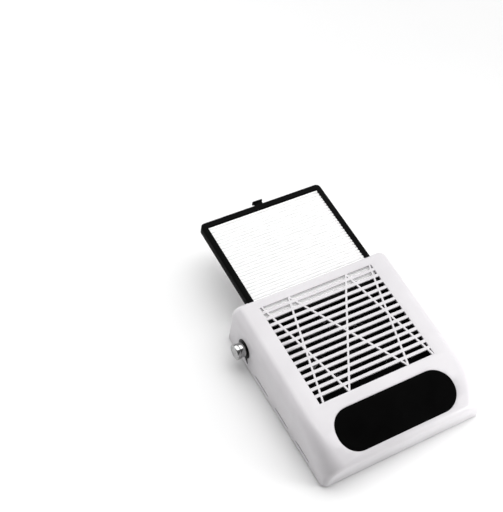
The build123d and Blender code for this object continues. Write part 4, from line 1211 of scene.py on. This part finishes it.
@dataclass
class SpeedControl(Assembly):
    """Chrome knob on its dial ring, and the potentiometer behind the wall.

    The knob's sizes are in millimetres.

    Attributes:
        cap: Length of the knob's wide front.
        neck: Length of its groove.
        shoulder: How much smaller the skirt is than the cap.
        groove: Depth of the groove.
        dish: Depth of the recess in its face.
        bore: Radius of the shaft's hole.
        cavity: Radius of the hollow over the nut.
        nut: Depth of that hollow.
        crown: Thickness of the face over the shaft's end.
        steps: Points round the knob.
        pole: Radius at which the profile meets its axis, in metres, which its end fans close.
    """

    cap: float = 4.6
    neck: float = 1.2
    shoulder: float = 0.7
    groove: float = 1.7
    dish: float = 0.55
    bore: float = 3.02
    cavity: float = 6.37
    nut: float = 2.1
    crown: float = 3.0
    steps: int = 128
    pole: float = 1e-6

    def knob(self) -> Piece:
        """Knob turned from a profile with rounded corners.

        Returns:
            The piece.
        """
        low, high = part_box("speed_knob")
        reach, length = (high[1] - low[1]) / 2 / MM, (high[0] - low[0]) / MM
        neck, narrow, skirt = self.cap + self.neck, reach - self.groove, reach - self.shoulder
        profile = turned(low[0], [
            (self.dish + 0.15, 0, 0), (self.dish, reach / 2, 1.0), (self.dish, reach - 3.0, 0.4),
            (0, reach - 2.4, 0.35), (0, reach, 1.3), (self.cap, reach, 0.35), (self.cap + 0.1, narrow, 0.4),
            (neck, narrow, 0.3), (neck, skirt, 0.3), (length, skirt, 0.35), (length, self.cavity, 0.2),
            (length - self.nut, self.cavity, 0.3), (length - self.nut, self.bore, 0.2),
            (self.crown, self.bore, 0.2), (self.crown, 0, 0),
        ], steps=7)
        profile[[0, -1], 1] = self.pole
        shell = Shell()
        shell.tube(lathe(profile, self.steps, Axis.X, (low + high) / 2))
        return shell.piece("chrome_knob", sharp=38)

    def build(self) -> None:
        """Makes the new meshes and dresses every piece of the group."""
        low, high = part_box("speed_knob")
        centre = tuple((low + high) / 2)
        chrome = TurnedMetal("polished_chrome", grey(0.30), grey(0.52), 0.05, 0.12, Axis.X, centre)
        self.place(self.knob(), "knob", "chrome_knob", chrome, "speed_knob")
        self.dress(Shade.ZINC, "knob_set_screw", "potentiometer_washer")
        self.dress(Shade.DIAL, "dial_plate", edge=Edge.CRISP)
        self.dress(Shade.ZINC, "potentiometer_body", edge=Edge.CRISP)
        self.dress(Shade.BEARING, "potentiometer_shaft", edge=Edge.CRISP)
        self.dress(Shade.NICKEL, "potentiometer_nut", "potentiometer_terminals", edge=Edge.CRISP)


@dataclass
class Electronics(Assembly):
    """Control board with its parts, the power inlet and the inner leads."""

    def build(self) -> None:
        """Makes the new meshes and dresses every piece of the group."""
        self.dress(Shade.BOARD, "control_board")
        self.dress(Shade.ZINC, "board_screws", edge=Edge.CRISP)
        self.dress(Shade.RESIN, "speed_controller_chip", "power_transistor", edge=Edge.CRISP)
        self.dress(Shade.SINK, "heat_sink", edge=Edge.CRISP)
        self.dress(Shade.SLEEVE, "board_capacitors", edge=Edge.MOULDED)
        self.dress(Shade.NYLON, "board_connectors", edge=Edge.CRISP)
        self.dress(Shade.BLACK, "power_inlet", edge=Edge.CRISP)
        self.dress(Shade.NICKEL, "power_inlet_pin", "power_inlet_nut", edge=Edge.CRISP)
        self.dress(Shade.JACKET, "power_lead", "dial_lead", "fan_lead")


# ---- studio ----
@dataclass
class Studio:
    """Floor, soft light and camera.

    Attributes:
        eye: The camera's place.
        azimuth: Its direction round the object, in degrees.
        elevation: Its height above the horizon, in degrees.
        roll: Its tilt, in degrees.
        lens: Focal length in millimetres.
        sensor: Sensor's longer side in millimetres.
        floor: Reach of the floor.
        spokes: Points round it.
        horizon: Strength of the light from the horizon.
        sky: Strength of the light from overhead.
        key: Strength of the key light.
        key_spread: How wide the key light looks, in degrees.
        key_from: Where the key light comes from.
        shade_from: The side of the sky that is dimmest.
        shade_left: Share of the sky's light that is left there.
    """

    eye: Triple = (-0.5273212, -0.4806794, 1.0601341)
    azimuth: float = -35.985
    elevation: float = 51.018
    roll: float = 9.167
    lens: float = 72.214
    sensor: float = 36.0
    floor: float = 60.0
    spokes: int = 64
    horizon: float = 0.95
    sky: float = 0.22
    key: float = 3.0
    key_spread: float = 75.0
    key_from: Triple = (0.36, 0.40, 0.86)
    shade_from: Triple = (-0.50, -0.87, 0.0)
    shade_left: float = 0.45

    def add_camera(self) -> None:
        """Aims the camera by its azimuth, elevation and roll."""
        a, e, r = (math.radians(v) for v in (self.azimuth, self.elevation, self.roll))
        back = Vector((math.sin(a) * math.cos(e), -math.cos(a) * math.cos(e), math.sin(e)))
        level = Vector((math.cos(a), math.sin(a), 0))
        right = math.cos(r) * level + math.sin(r) * back.cross(level)
        up = back.cross(right)
        data = bpy.data.cameras.new("camera")
        data.lens = self.lens
        data.sensor_width = self.sensor
        data.sensor_fit = "AUTO"
        data.clip_start, data.clip_end = 0.01, 50
        camera = bpy.data.objects.new("camera", data)
        turn = Matrix((right, up, back)).transposed().to_4x4()
        camera.matrix_world = Matrix.Translation(self.eye) @ turn
        bpy.context.scene.collection.objects.link(camera)
        bpy.context.scene.camera = camera

    def add_floor(self) -> None:
        """Lays a round floor: points at radii in even ratios, turned about the middle."""
        radii = np.geomspace(0.05, self.floor, 16)
        profile = np.stack([np.zeros_like(radii), radii], axis=1)
        rings = lathe(profile, self.spokes, Axis.Z, (0, 0, 0))
        shell = Shell()
        shell.add(rings, grid_faces(len(radii), self.spokes, False, True)[:, ::-1])
        shell.add(rings[0], np.arange(self.spokes)[None, :])
        ground = shell.piece("studio_floor")
        ground.data.materials.append(Shade.FLOOR.make())

    def add_light(self, name: str, place: Triple, aim: Triple, size: float, power: float) -> None:
        """Adds one square soft light.

        Args:
            name: Its name.
            place: Where it stands.
            aim: What it points at.
            size: Its side, in metres.
            power: In watts.
        """
        data = bpy.data.lights.new(name, "AREA")
        data.size = size
        data.energy = power
        lamp = bpy.data.objects.new(name, data)
        lamp.location = place
        lamp.rotation_euler = (Vector(aim) - Vector(place)).to_track_quat("-Z", "Y").to_euler()
        lamp.visible_camera = False
        bpy.context.scene.collection.objects.link(lamp)

    def add_key(self) -> None:
        """Adds the broad key light, as far away as a large overhead panel seems."""
        data = bpy.data.lights.new("key_light", "SUN")
        data.energy = self.key
        data.angle = math.radians(self.key_spread)
        lamp = bpy.data.objects.new("key_light", data)
        lamp.rotation_euler = (-Vector(self.key_from)).to_track_quat("-Z", "Y").to_euler()
        bpy.context.scene.collection.objects.link(lamp)

    def ramp(self, tree: bpy.types.NodeTree, value: Socket, span: tuple[float, float],
             to: tuple[float, float]) -> bpy.types.Node:
        """Adds a node that carries one range over to another.

        Args:
            tree: The sky's node tree.
            value: What is carried over.
            span: Its range.
            to: The new range.

        Returns:
            The node.
        """
        made = tree.nodes.new("ShaderNodeMapRange")
        for name, number in zip(("From Min", "From Max", "To Min", "To Max"), span + to):
            made.inputs[name].default_value = number
        tree.links.new(value, made.inputs["Value"])
        return made

    def add_sky(self) -> None:
        """Pale light from all round, whitest at the horizon and dimmer on one side."""
        world = bpy.data.worlds.new("studio_sky")
        world.use_nodes = True
        tree = world.node_tree
        way = tree.nodes.new("ShaderNodeTexCoord").outputs["Generated"]
        split = tree.nodes.new("ShaderNodeSeparateXYZ")
        toward = tree.nodes.new("ShaderNodeVectorMath")
        toward.operation = "DOT_PRODUCT"
        toward.inputs[1].default_value = self.shade_from
        both = tree.nodes.new("ShaderNodeMath")
        both.operation = "MULTIPLY"
        tree.links.new(way, split.inputs[0])
        tree.links.new(way, toward.inputs[0])
        rise = self.ramp(tree, split.outputs["Z"], (0.02, 0.30), (self.horizon, self.sky))
        rise.interpolation_type = "SMOOTHSTEP"
        side = self.ramp(tree, toward.outputs["Value"], (-0.2, 0.8), (1.0, self.shade_left))
        tree.links.new(rise.outputs["Result"], both.inputs[0])
        tree.links.new(side.outputs["Result"], both.inputs[1])
        tree.links.new(both.outputs["Value"], tree.nodes["Background"].inputs["Strength"])
        tree.nodes["Background"].inputs["Color"].default_value = (1, 1, 1, 1)
        bpy.context.scene.world = world

    def build(self) -> None:
        """Sets up the whole studio."""
        self.add_camera()
        self.add_floor()
        self.add_sky()
        self.add_key()
        self.add_light("right_fill", (0.40, -0.42, 0.17), (0.08, -0.12, 0.03), 0.25, 2.2)
        self.add_light("left_back_fill", (-0.95, 0.75, 0.55), (-0.1, 0.05, 0.03), 0.8, 3.8)
        bpy.context.scene.view_settings.view_transform = "Standard"
        bpy.context.scene.view_settings.look = "None"


def main() -> None:
    """Builds the studio, then the collector's groups in order, noting how many new pieces each made."""
    logging.basicConfig(level=logging.INFO, format="%(message)s")
    Studio().build()
    groups = [Casing(), PalmRest(), FilterDrawer(), InnerTray(), Fan(), SpeedControl(), Electronics()]
    for group in groups:
        group.build()
        log.info("%s: %d new pieces", type(group).__name__, len(group.made))


if __name__ == "__main__":
    main()
